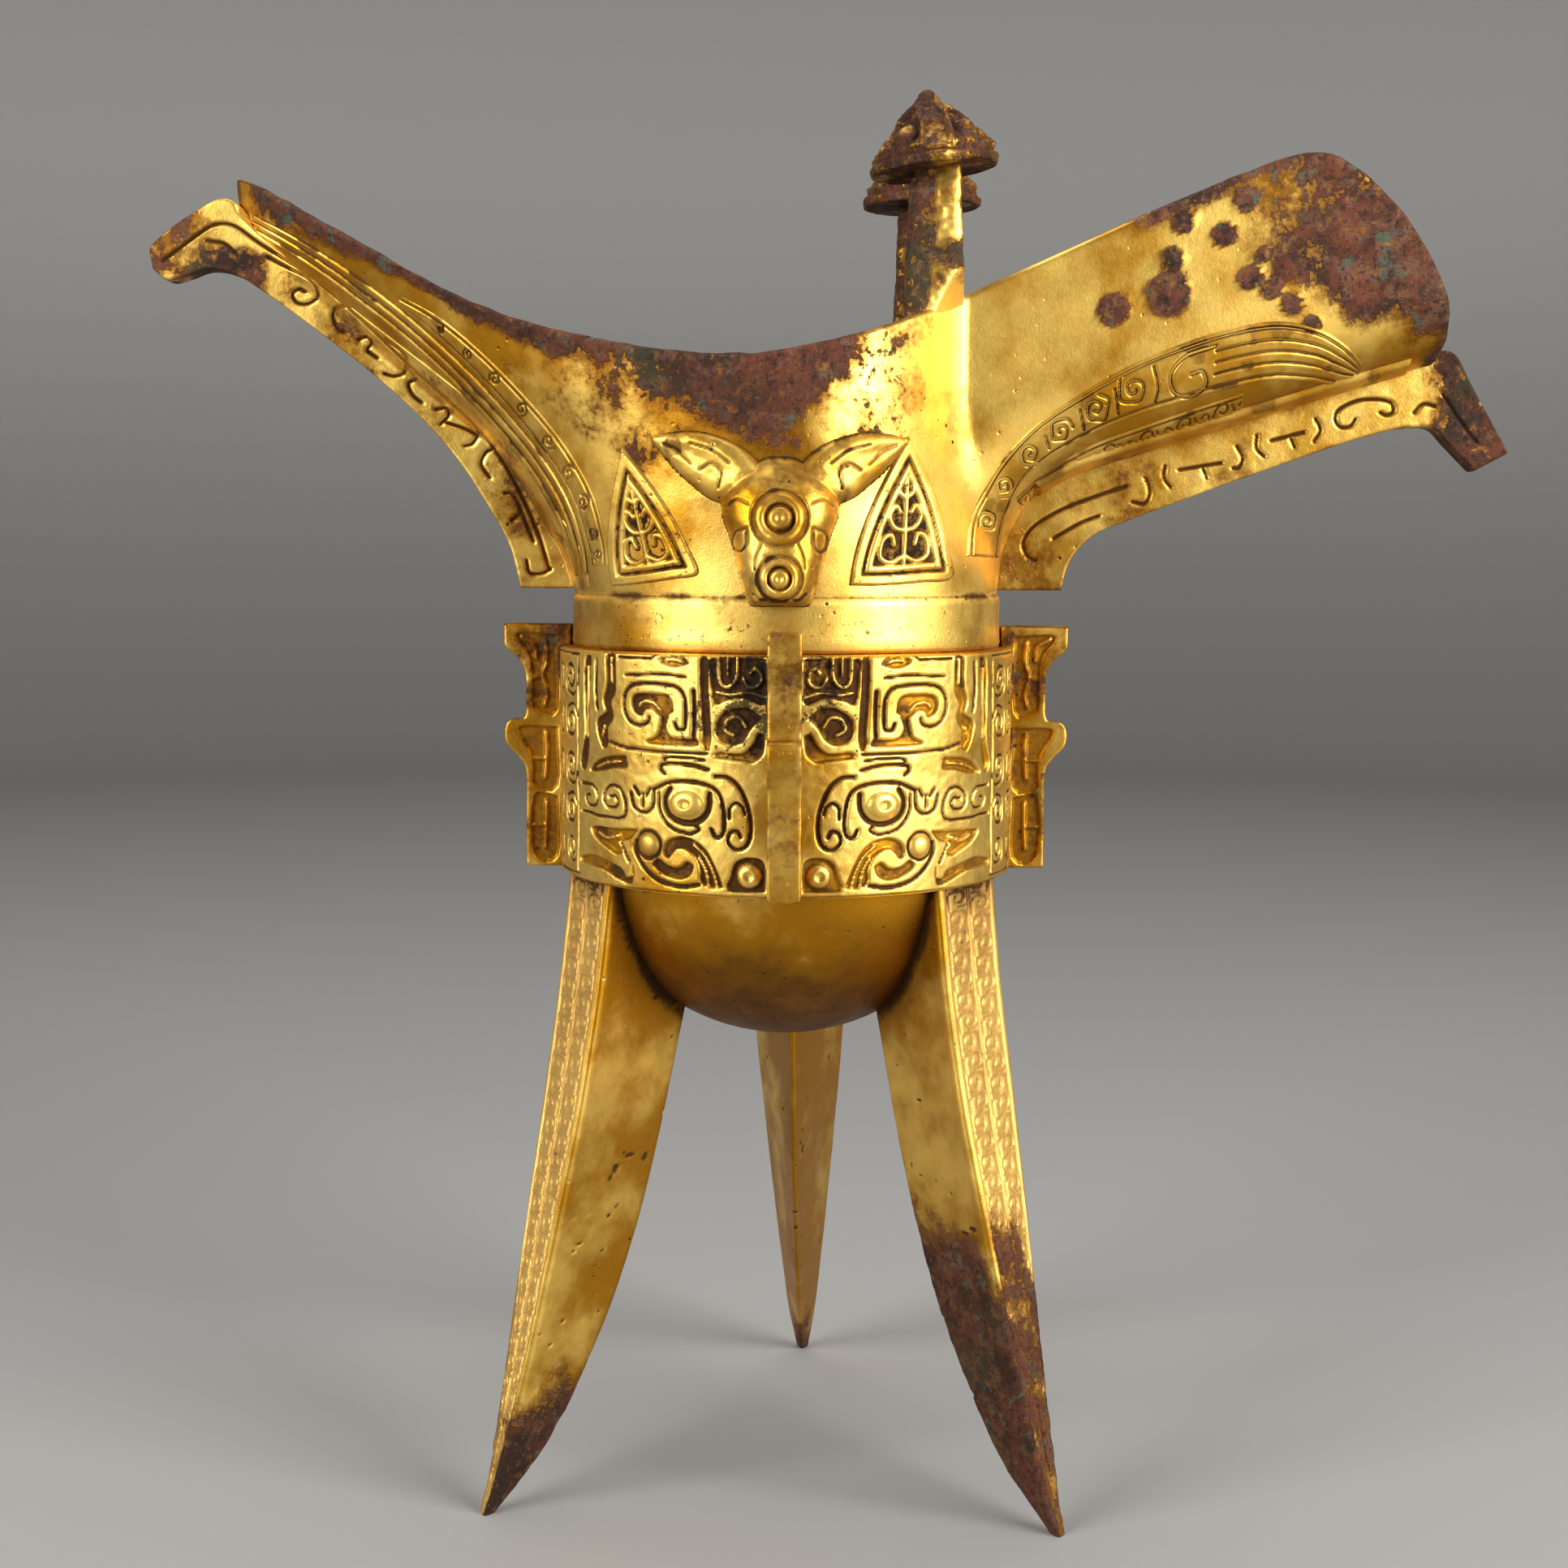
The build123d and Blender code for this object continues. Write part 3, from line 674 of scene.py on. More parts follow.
@dataclass(frozen=True)
class Studio:
    """Pale sweep, soft lamps and the camera of the photograph. The sweep's sizes are metres."""

    lens: float = 50.27
    sensor: float = 36.0
    place: tuple = (1.22, -340.9, 145.0)
    pitch: float = -5.98
    roll: float = 0.28
    yaw: float = -0.24
    floor_r: float = 1.15
    bend_r: float = 0.5
    wall_top: float = 1.9
    floor_tone: tuple = (0.28, 0.273, 0.26)
    wall_tone: tuple = (0.5, 0.49, 0.47)
    floor_rough: float = 0.55
    air: tuple = (0.05, 0.049, 0.047, 1.0)
    columns: int = 96
    rows: int = 120
    lamps: tuple = (
        Lamp("key_lamp", (-0.62, -0.47, 0.40), 0.42, 8.0),
        Lamp("fill_lamp", (0.62, -0.44, 0.38), 0.46, 11.0),
        Lamp("top_lamp", (0.0, 0.15, 1.15), 0.9, 7.0),
    )

    def build(self) -> None:
        """Adds everything that isn't part of the vessel."""
        self.sweep()
        self.camera()
        for lamp in self.lamps:
            lamp.build()
        world = bpy.data.worlds.new("studio_air")
        world.use_nodes = True
        world.node_tree.nodes["Background"].inputs["Color"].default_value = self.air
        bpy.context.scene.world = world
        bpy.context.scene.view_settings.view_transform = "Standard"

    def sweep(self) -> None:
        """Pale round floor that curves up into a wall all round."""
        quarter = math.pi / 2

        def place(u: Array, v: Array) -> Placed:
            """Profile of the sweep, spun round the vessel.

            Args:
                u: Share of the turn.
                v: Share of the way from the middle to the top.

            Returns:
                Points, with nothing painted.
            """
            arc = self.bend_r * quarter
            along = v * (self.floor_r + arc + self.wall_top)
            bend = np.clip((along - self.floor_r) / self.bend_r, 0, quarter)
            reach = np.minimum(along, self.floor_r) + self.bend_r * np.sin(bend)
            z = self.bend_r * (1 - np.cos(bend)) + np.clip(along - self.floor_r - arc, 0, None)
            turn = u * math.tau
            return np.stack([reach * np.cos(turn), reach * np.sin(turn), z], 1) / MM, {}

        floor = grid_piece("floor", (self.columns, self.rows), place)
        edit_all(lambda: bpy.ops.mesh.remove_doubles(threshold=1e-5))
        net = Net("pale_floor")
        tone = net.blend(net.level().step(0.0, self.bend_r), self.floor_tone, self.wall_tone)
        net.surface(Base_Color=tone, Roughness=self.floor_rough)
        floor.data.materials.append(net.material)
        bpy.ops.object.shade_smooth()

    def camera(self) -> None:
        """Camera at the photograph's viewing angle."""
        yaw, pitch, roll = (math.radians(a) for a in (self.yaw, self.pitch, self.roll))
        ahead = Vector((math.sin(yaw) * math.cos(pitch), math.cos(yaw) * math.cos(pitch), math.sin(pitch)))
        right = Vector((math.cos(yaw), -math.sin(yaw), 0))
        up = right.cross(ahead)
        across = math.cos(roll) * right + math.sin(roll) * up
        upward = math.cos(roll) * up - math.sin(roll) * right
        data = bpy.data.cameras.new("photo_camera")
        data.lens = self.lens
        data.sensor_width = self.sensor
        data.clip_start = 0.01
        camera = bpy.data.objects.new("photo_camera", data)
        bpy.context.scene.collection.objects.link(camera)
        turn = Matrix((across, upward, -ahead)).transposed().to_4x4()
        camera.matrix_world = Matrix.Translation(Vector(self.place) * MM) @ turn
        bpy.context.scene.camera = camera


def grid_piece(name: str, size: Faces, place: Callable) -> bpy.types.Object:
    """Adds a grid and puts its vertices in place.

    Args:
        name: Name of the piece.
        size: Faces along both directions.
        place: Takes the two shares of each vertex and gives its points, in millimetres, and painted values.

    Returns:
        The new object, at the origin.
    """
    bpy.ops.object.select_all(action="DESELECT")
    bpy.ops.mesh.primitive_grid_add(x_subdivisions=size[0], y_subdivisions=size[1], size=2.0)
    piece = bpy.context.object
    piece.name = name
    piece.data.name = name
    flat = np.empty(len(piece.data.vertices) * 3)
    piece.data.vertices.foreach_get("co", flat)
    flat = flat.reshape(-1, 3)
    points, painted = place((flat[:, 0] + 1) / 2, (flat[:, 1] + 1) / 2)
    if not np.isfinite(points).all():
        raise ValueError(f"{name} has points without a place")
    piece.data.vertices.foreach_set("co", (points * MM).ravel())
    for key, values in painted.items():
        layer = piece.data.attributes.new(key, "FLOAT", "POINT")
        layer.data.foreach_set("value", np.clip(values, 0, 1).astype(np.float32))
    piece.data.update()
    return piece


def edit_all(*steps: Callable) -> None:
    """Runs edit operators one after the other, each on the whole active piece.

    Args:
        steps: The operators, in order.
    """
    bpy.ops.object.mode_set(mode="EDIT")
    for step in steps:
        bpy.ops.mesh.select_all(action="SELECT")
        step()
    bpy.ops.object.mode_set(mode="OBJECT")


def dress(piece: bpy.types.Object, finish: bpy.types.Material, slot: Slot, *nodes: str) -> None:
    """Gives a finished piece its material and its place in the model.

    Args:
        piece: The piece.
        finish: Its material.
        slot: Not used.
        nodes: CAD nodes that it stands for.
    """
    piece.data.materials.clear()
    piece.data.materials.append(finish)
    bpy.ops.object.select_all(action="DESELECT")
    piece.select_set(True)
    bpy.context.view_layer.objects.active = piece
    bpy.ops.object.shade_smooth()
    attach(piece, BODY)
    if nodes:
        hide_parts(*nodes)
    log.info("%s: %d faces", piece.name, len(piece.data.polygons))


@dataclass
class Casting:
    """A sub-assembly whose pieces share one finish."""

    finish: bpy.types.Material
    seed: ClassVar[int] = 0

    def __post_init__(self) -> None:
        """Makes the noise that wears the pieces."""
        self.lumps = Lumps(self.seed)

    def cast(self, name: str, size: Faces, place: Callable, node: str, slot: Slot = Slot.GILT) -> None:
        """Makes a closed piece: meeting borders are joined, open ends filled and faces turned outwards.

        Args:
            name: Name of the piece.
            size: Faces along both directions of its grid.
            place: Gives the points and painted values of the grid.
            node: CAD node that it stands for.
            slot: The record's slot for it.
        """
        piece = grid_piece(name, size, place)
        edit_all(
            lambda: bpy.ops.mesh.remove_doubles(threshold=2e-6),
            lambda: bpy.ops.mesh.fill_holes(sides=0),
            lambda: bpy.ops.mesh.normals_make_consistent(inside=False),
        )
        dress(piece, self.finish, slot, node)

    def sheet(self, name: str, size: Faces, place: Callable, side: int, thick: float, *nodes: str) -> None:
        """Makes a sheet of relief with a closed back inside the wall that carries it.

        Args:
            name: Name of the piece.
            size: Faces along both directions of its grid.
            place: Gives the points and painted values of the grid.
            side: -1 in front, 1 behind.
            thick: Thickness of the sheet.
            nodes: CAD nodes that it stands for.
        """
        piece = grid_piece(name, size, place)
        if sum(face.normal.y * face.area for face in piece.data.polygons) * side < 0:
            edit_all(bpy.ops.mesh.flip_normals)
        shell = piece.modifiers.new("back", "SOLIDIFY")
        shell.thickness = thick * MM
        shell.offset = -1.0
        bpy.ops.object.modifier_apply(modifier=shell.name)
        dress(piece, self.finish, Slot.GILT, *nodes)


@dataclass
class Mouth(Casting):
    """Flared mouth with its spout, tail, collar and rounded rim.

    The tables of reach are (height over the neck, reach past it), the rim is (x, height over the neck), the
    collar is (z, radius) and the warts are (x, z, radius).
    """

    seed: ClassVar[int] = 11
    neck_z: float = 139.0
    neck_r: float = 32.5
    wall: float = 2.7
    top: float = 66.0
    tail_reach: Line = (
        (0, 0), (6, 1.9), (10, 4.5), (17, 8.7), (22.4, 13.3), (29.7, 22.5), (36.9, 31.6), (44.2, 40.7),
        (50, 47.3), (55, 50.6), (62.4, 51.6), (68, 51.9),
    )
    spout_reach: Line = (
        (0, 0), (6, 0.7), (10.3, 2.3), (15.1, 5.4), (18.6, 11.7), (22.2, 22.9), (26.4, 36.7), (30.7, 50.6),
        (34.8, 64.5), (38.5, 76.5), (43, 84.5), (50, 88.5), (68, 91),
    )
    spout_half_width: float = 15.3
    floor_depth: float = 13.0
    root_x: float = 34.0
    root_blend: float = 7.0
    root_narrowing: float = 6.5
    change_height: float = 30.0
    tail_point_height: float = 50.0
    tail_sharpness: float = 0.45
    rim: Line = (
        (-93, 64.5), (-82, 62), (-62, 50.8), (-40, 39.9), (-12, 34), (8, 36.4), (28, 44.8), (52, 55.6),
        (66, 61.4), (73, 63.9), (78.5, 64.3), (84, 61.4), (91, 54), (96.3, 45), (98.4, 37.5), (99.6, 28),
    )
    rim_end_slope: float = 8.0
    wart_spots: tuple = (
        (55.6, 183, 2.7), (55.8, 188, 1.5), (47.6, 180.8, 1.9), (57.4, 193.4, 1.4), (63.4, 191.6, 1.4),
        (66.4, 196.6, 1.5), (69, 188.6, 0.9), (53.4, 194, 0.8), (74.5, 199.5, 0.8), (67.5, 185.4, 1.4),
        (70.5, 183.8, 1.3), (73.5, 181.6, 1.2), (76.6, 178.8, 1), (72.5, 186.8, 1.6),
    )
    wart_height: float = 0.3
    collar: Line = (
        (131, 32.5), (131.2, 32.85), (131.8, 33.05), (133.2, 32.95), (135.5, 32.9), (137.8, 32.95),
        (138.6, 32.9), (139, 32.55),
    )
    bore_r: float = 29.5
    bore_drop: float = 3.0
    spigot_r: float = 31.2
    spigot_z: float = 128.1
    lip: float = 1.1
    spout_slope: float = 0.28
    spout_middle_x: float = 60.0
    crust_low: Line = ((64, 188), (70, 186), (76, 182.5), (84, 178.6), (98, 176.4))
    inner_crust: float = 0.62
    tail_columns: int = 84
    cup_columns: int = 50
    spout_columns: int = 92
    wall_rows: int = 104
    inner_rows: int = 36
    lip_rows: int = 9

    def __post_init__(self) -> None:
        """Draws the lines that the surface follows."""
        super().__post_init__()
        heights = np.arange(0.0, self.top + 0.2, 0.4)
        self.floor = np.concatenate([[(self.neck_r, -30.0)], np.stack([self.spout_x(heights), heights], 1)])
        self.rim_line = smooth_line(self.rim, 24)

    def spout_x(self, height: Array) -> Array:
        """Reach of the spout floor at a height above the neck."""
        return self.neck_r + monotone(self.spout_reach, height)

    def spout_level(self, x: Array, above: float) -> Array:
        """Level of a line that runs along the spout, so far above the neck in its middle."""
        return self.neck_z + above + self.spout_slope * (x - self.spout_middle_x)

    def rim_height(self, x: Array) -> Array:
        """Height of the rim above the neck, in side view."""
        past = np.clip(x - self.rim[-1][0], 0, None)
        return np.interp(x, self.rim_line[:, 0], self.rim_line[:, 1]) - self.rim_end_slope * past

    def depth(self, x: Array, height: Array) -> Array:
        """Distance over the spout floor in the middle plane, negative outside it.

        Args:
            x: Places along the vessel.
            height: Heights above the neck.

        Returns:
            The distance at each place.
        """
        x, height = np.broadcast_arrays(np.asarray(x, float), np.asarray(height, float))
        far = line_distance(x.ravel(), height.ravel(), self.floor).reshape(x.shape)
        return np.where(x < self.spout_x(np.clip(height, 0, None)), far, -far)

    def spout_y(self, x: Array, height: Array, inset: float) -> Array:
        """Half width on the spout side.

        Args:
            x: Places along the vessel.
            height: Heights above the neck.
            inset: How far the wall is moved in.

        Returns:
            The half width at each place.
        """
        x, height = np.broadcast_arrays(np.asarray(x, float), np.asarray(height, float))
        change = ease(height / self.change_height)
        cup_x = self.neck_r - self.root_narrowing * change - inset
        cup = (self.neck_r - inset) * np.sqrt(np.clip(1 - (x / cup_x) ** 2, 0, None))
        climb = np.clip((self.depth(x, height) - inset) / (self.floor_depth - inset), 0, 1)
        trough = np.sqrt(np.clip(1 - (1 - climb) ** 2, 0, None))
        wide = (self.spout_half_width - inset) * trough
        blend = self.root_blend * (0.3 + 0.7 * change) * trough
        return (cup + wide + np.hypot(cup - wide, blend)) / 2

    def tail_x(self, height: Array, inset: float) -> Array:
        """Reach of the tail at a height, moved in by the inset.

        Args:
            height: Heights over the neck.
            inset: How far in from the outer face.

        Returns:
            Distance from the axis at each height.
        """
        above = monotone(self.tail_reach, height + 0.5)
        slope = above - monotone(self.tail_reach, np.clip(height - 0.5, 0, None))
        return self.neck_r + monotone(self.tail_reach, height) - inset * np.hypot(1.0, slope)

    def half_y(self, x: Array, height: Array, inset: float = 0.0) -> Array:
        """Half width of the mouth at points of its side view.

        Args:
            x: Places along the vessel.
            height: Heights above the neck.
            inset: How far the wall is moved in.

        Returns:
            The half width at each point.
        """
        x, height = np.broadcast_arrays(np.asarray(x, float), np.asarray(height, float))
        power = 0.5 + self.tail_sharpness * ease(height / self.tail_point_height)
        middle = self.spout_y(np.zeros(x.shape), height, inset)
        tail = middle * np.clip(1 - (x / self.tail_x(height, inset)) ** 2, 0, None) ** power
        return np.where(x < 0, tail, self.spout_y(np.clip(x, 0, None), height, inset))

    def nose(self, height: float, inset: float) -> float:
        """Reach of the spout floor, found by halving.

        Args:
            height: Height above the neck.
            inset: How far the wall is moved in.

        Returns:
            The reach along the vessel.
        """
        low = 0.0
        high = float(self.spout_x(np.array(height)))
        for _ in range(30):
            middle = (low + high) / 2
            if self.depth(np.array(middle), np.array(height)) > inset:
                low = middle
            else:
                high = middle
        return (low + high) / 2

    def outline(self, height: float, inset: float) -> Array:
        """Half of a level section from the tail round to the spout.

        Args:
            height: Height above the neck.
            inset: How far the wall is moved in.

        Returns:
            As many points as half of the mesh has columns.
        """
        nose = self.nose(height, inset)
        root = min(self.root_x, 0.93 * nose)
        turn = np.radians(np.linspace(90, 0, 121))
        power = 1 + 2 * self.tail_sharpness * float(ease(height / self.tail_point_height))
        middle = float(self.spout_y(np.array(0.0), np.array(height), inset))
        tail = -float(self.tail_x(np.array(height), inset)) * np.sin(turn)
        across = np.linspace(0, root, 121)
        onward = root + (nose - root) * np.sin(np.pi / 2 - turn)
        ends = self.spout_y(onward, height, inset)
        ends[-1] = 0.0
        stretches = (
            (tail, middle * np.clip(np.cos(turn), 0, None) ** power, self.tail_columns),
            (across, self.spout_y(across, height, inset), self.cup_columns),
            (onward, ends, self.spout_columns),
        )
        parts = []
        for x, y, count in stretches:
            line = np.stack([x, y], 1)
            marks = lengths(line)
            parts.append(along_line(marks[-1] * np.arange(count) / count, marks, line))
        return np.concatenate([*parts, [[nose, 0.0]]])

    def wall_lines(self, inset: float, rows: int) -> tuple[Array, Array]:
        """Columns of the wall from the neck to where the lip starts.

        Args:
            inset: How far the wall is moved in.
            rows: Faces along each column.

        Returns:
            The points, rows by columns, and each column's direction at its upper end.
        """
        levels = np.linspace(0, self.top, 111)
        table = np.stack([self.outline(h, inset) for h in levels])
        points = np.empty((rows + 1, table.shape[1], 3))
        ends = np.empty((table.shape[1], 3))
        for c in range(table.shape[1]):
            line = np.column_stack([table[:, c], levels])
            over = levels - self.rim_height(line[:, 0])
            k = int(np.argmax(over > 0))
            share = over[k - 1] / (over[k - 1] - over[k])
            line = np.concatenate([line[:k], [line[k - 1] + share * (line[k] - line[k - 1])]])
            marks = lengths(line)
            points[:, c] = along_line(np.linspace(0, marks[-1] - self.lip, rows + 1), marks, line)
            last = line[-1] - line[-2]
            ends[c] = last / np.linalg.norm(last)
        points[:, :, 2] += self.neck_z
        return points, ends

    def rows(self) -> tuple[Array, Array]:
        """Half of the shell, from the collar over the rim and down the inside.

        Returns:
            The points, rows by columns, and the distance of each point below the rim.
        """
        outer, outer_end = self.wall_lines(0.0, self.wall_rows)
        inner, inner_end = self.wall_lines(self.wall, self.inner_rows)
        level = outer[0, :, :2] / np.linalg.norm(outer[0, :, :2], axis=1, keepdims=True)

        def hoop(z: float, r: float) -> Array:
            """One round row."""
            return np.column_stack([level * r, np.full(len(level), z)])[None]

        parts = [hoop(z, r) for z, r in self.collar[:-1]]
        parts.append(outer)
        middle = (outer[-1] + inner[-1]) / 2
        half = (outer[-1] - inner[-1]) / 2
        ahead = outer_end + inner_end
        ahead = ahead / np.linalg.norm(ahead, axis=1, keepdims=True) * self.lip
        for k in range(1, self.lip_rows):
            turn = math.pi * k / self.lip_rows
            parts.append((middle + half * math.cos(turn) + ahead * math.sin(turn) ** 0.8)[None])
        parts.append(inner[::-1])
        parts.append(hoop(self.neck_z - self.bore_drop, self.bore_r))
        parts.append(hoop(self.spigot_z, self.bore_r))
        parts.append(hoop(self.spigot_z, self.spigot_r))
        parts.append(hoop(self.collar[0][0], self.spigot_r))
        parts.append(hoop(*self.collar[0]))
        net = np.concatenate(parts)
        crest = len(self.collar) - 1 + self.wall_rows + self.lip_rows // 2
        steps = np.linalg.norm(np.diff(net, axis=0), axis=2)
        along = np.concatenate([np.zeros((1, net.shape[1])), np.cumsum(steps, axis=0)])
        return net, np.abs(along - along[crest])

    def crust(self, points: Array, below: Array) -> Array:
        """How corroded the mouth is, with a thin brown film of painted shade on the spout's lower wall.

        Args:
            points: Points of the shell.
            below: Their distance below the rim.

        Returns:
            One value from 0 to 1 for each point.
        """
        x = points[:, 0]
        z = points[:, 2]
        waver = self.lumps.waver(points, 7.0)
        tail = fall(below, 2.2 + 4 * waver, 6) * rise(x, -86, 10) * fall(x, -32, 10)
        reach = 7.5 * bell(x, -4, 12) + 7 * waver - 1
        front = fall(below, reach, 11) * rise(x, -42, 14) * fall(x, 4, 16)
        low = np.interp(x, *zip(*self.crust_low))
        end = rise(x, 62 + 10 * waver, 16) * rise(z, low - 2 + 6 * waver, 7)
        window = bell(x, 75, 6) * bell(z, 197, 5)
        edge = fall(below, 1.0 + 3 * waver, 4) * rise(x, 46, 12)
        stain = 0.27 * fall(below, 15 + 16 * waver, 11) * rise(x, -50, 20) * fall(x, 14, 12) + 0.1 * waver
        # lower: painted shade on the spout's lower wall, laid as a thin brown film
        lower = rise(x, 36, 8) * (0.3 * rise(self.spout_level(x, 29) - z, 0, 7) + 0.2 * waver)
        patches = [tail, 0.9 * front, end * (1 - 0.55 * window), 0.8 * edge, stain, lower]
        return np.clip(np.maximum.reduce(patches), 0, 1)

    def warts(self, points: Array) -> tuple[Array, Array]:
        """Corrosion warts on the spout.

        Args:
            points: Points of the shell.

        Returns:
            The height of the warts, and how far they stain the gilding round them.
        """
        height = np.zeros(len(points))
        cover = np.zeros(len(points))
        ragged = 0.86 + 0.28 * self.lumps.rough(points, 2.0)
        for x, z, r in self.wart_spots:
            share = np.hypot(points[:, 0] - x, points[:, 2] - z) / (r * ragged)
            dome = np.clip(1 - share**2, 0, None) ** 0.7
            height = np.maximum(height, dome * min(r, 2.2) * self.wart_height)
            cover = np.maximum(cover, rise(-share, -1.7, 0.9))
        return height, cover

    def shade(self, points: Array) -> Array:
        """How far the gilding leans to amber, mostly as painted shade.

        Args:
            points: Points of the shell.

        Returns:
            One value from 0 to 1 for each point.
        """
        x = points[:, 0]
        z = points[:, 2]
        # painted shade darkens the tail wall, the left of the neck and the spout's lower wall
        tail = 0.7 * rise(-x, 20, 18)
        low = rise(self.spout_level(x, 34) - z, 0, 8)
        # under_rim is darker amber below the front of the rim, where the crust lies
        under_rim = bell(x, -5, 13) * rise(z, 152, 8) * (1 - 0.6 * rise(z, 168, 4))
        neck = 0.32 * rise(-x, -2, 16) + 0.8 * under_rim
        return np.maximum(tail, neck) + rise(x, 34, 10) * (0.22 + 0.65 * low)

    def soot(self, points: Array) -> Array:
        """How thick the black specks lie.

        Args:
            points: Points of the shell.

        Returns:
            One value from 0 to 1 for each point.
        """
        x = points[:, 0]
        z = points[:, 2]
        collar = 0.3 * rise(-z, -143, 6)
        beside_head = 0.4 * bell(x, 14, 7) * bell(z, 160, 9)
        under_post = 0.42 * bell(x, 12, 7) * bell(z, 173, 5)
        return 0.12 + np.maximum(collar, beside_head + under_post)

    def normals(self, net: Array) -> Array:
        """Unit normals of points that lie in rows of a grid."""
        across = np.cross(np.gradient(net, axis=1), np.gradient(net, axis=0))
        return across / np.maximum(np.linalg.norm(across, axis=2, keepdims=True), 1e-9)

    def build(self) -> None:
        """Makes the mouth as one closed shell."""
        half, below = self.rows()
        net = np.concatenate([half * (1, -1, 1), half[:, -2::-1]], axis=1)
        depth = np.concatenate([below, below[:, -2::-1]], axis=1)
        rows = net.shape[0] - 1
        columns = net.shape[1] - 1
        facing = self.normals(net)
        facing[:, [0, columns], 1] = 0

        def place(u: Array, v: Array) -> Placed:
            """Points of the shell, swollen by crust and warts.

            Args:
                u: Share of the way round a row.
                v: Share of the rows, from outside to inside.

            Returns:
                Points and painted values.
            """
            i = np.rint(v * rows).astype(int)
            j = np.rint(u * columns).astype(int)
            points = net[i, j]
            under = depth[i, j]
            inside = i > rows - self.inner_rows - 5
            crust = self.crust(points, under)
            wart, cover = (np.where(inside, 0, values) for values in self.warts(points))
            swell = 0.55 * crust * (self.lumps.rough(points, 2.4) - 0.45)
            swell = swell + wart * (0.7 + 0.6 * self.lumps.at(points, 0.9))
            swell = swell + 0.18 * self.lumps.waver(points, 16)
            swell = np.where((i < 2) | (i > rows - 6), 0, swell)
            crust = np.maximum(crust, cover)
            seam = 0.55 * bell(points[:, 2], self.neck_z, 0.45)
            stain = 0.35 * self.lumps.patches(points, 8, 0.55, 0.15)
            return points + facing[i, j] * swell[:, None], {
                "patina": np.where(inside, np.maximum(crust, self.inner_crust), crust),
                "grime": np.where(inside, 0.35 + 0.3 * ease(under / 20), seam + stain),
                "shade": self.shade(points),
                "soot": self.soot(points),
            }

        self.cast("mouth_shell", (columns, rows), place, "mouth")


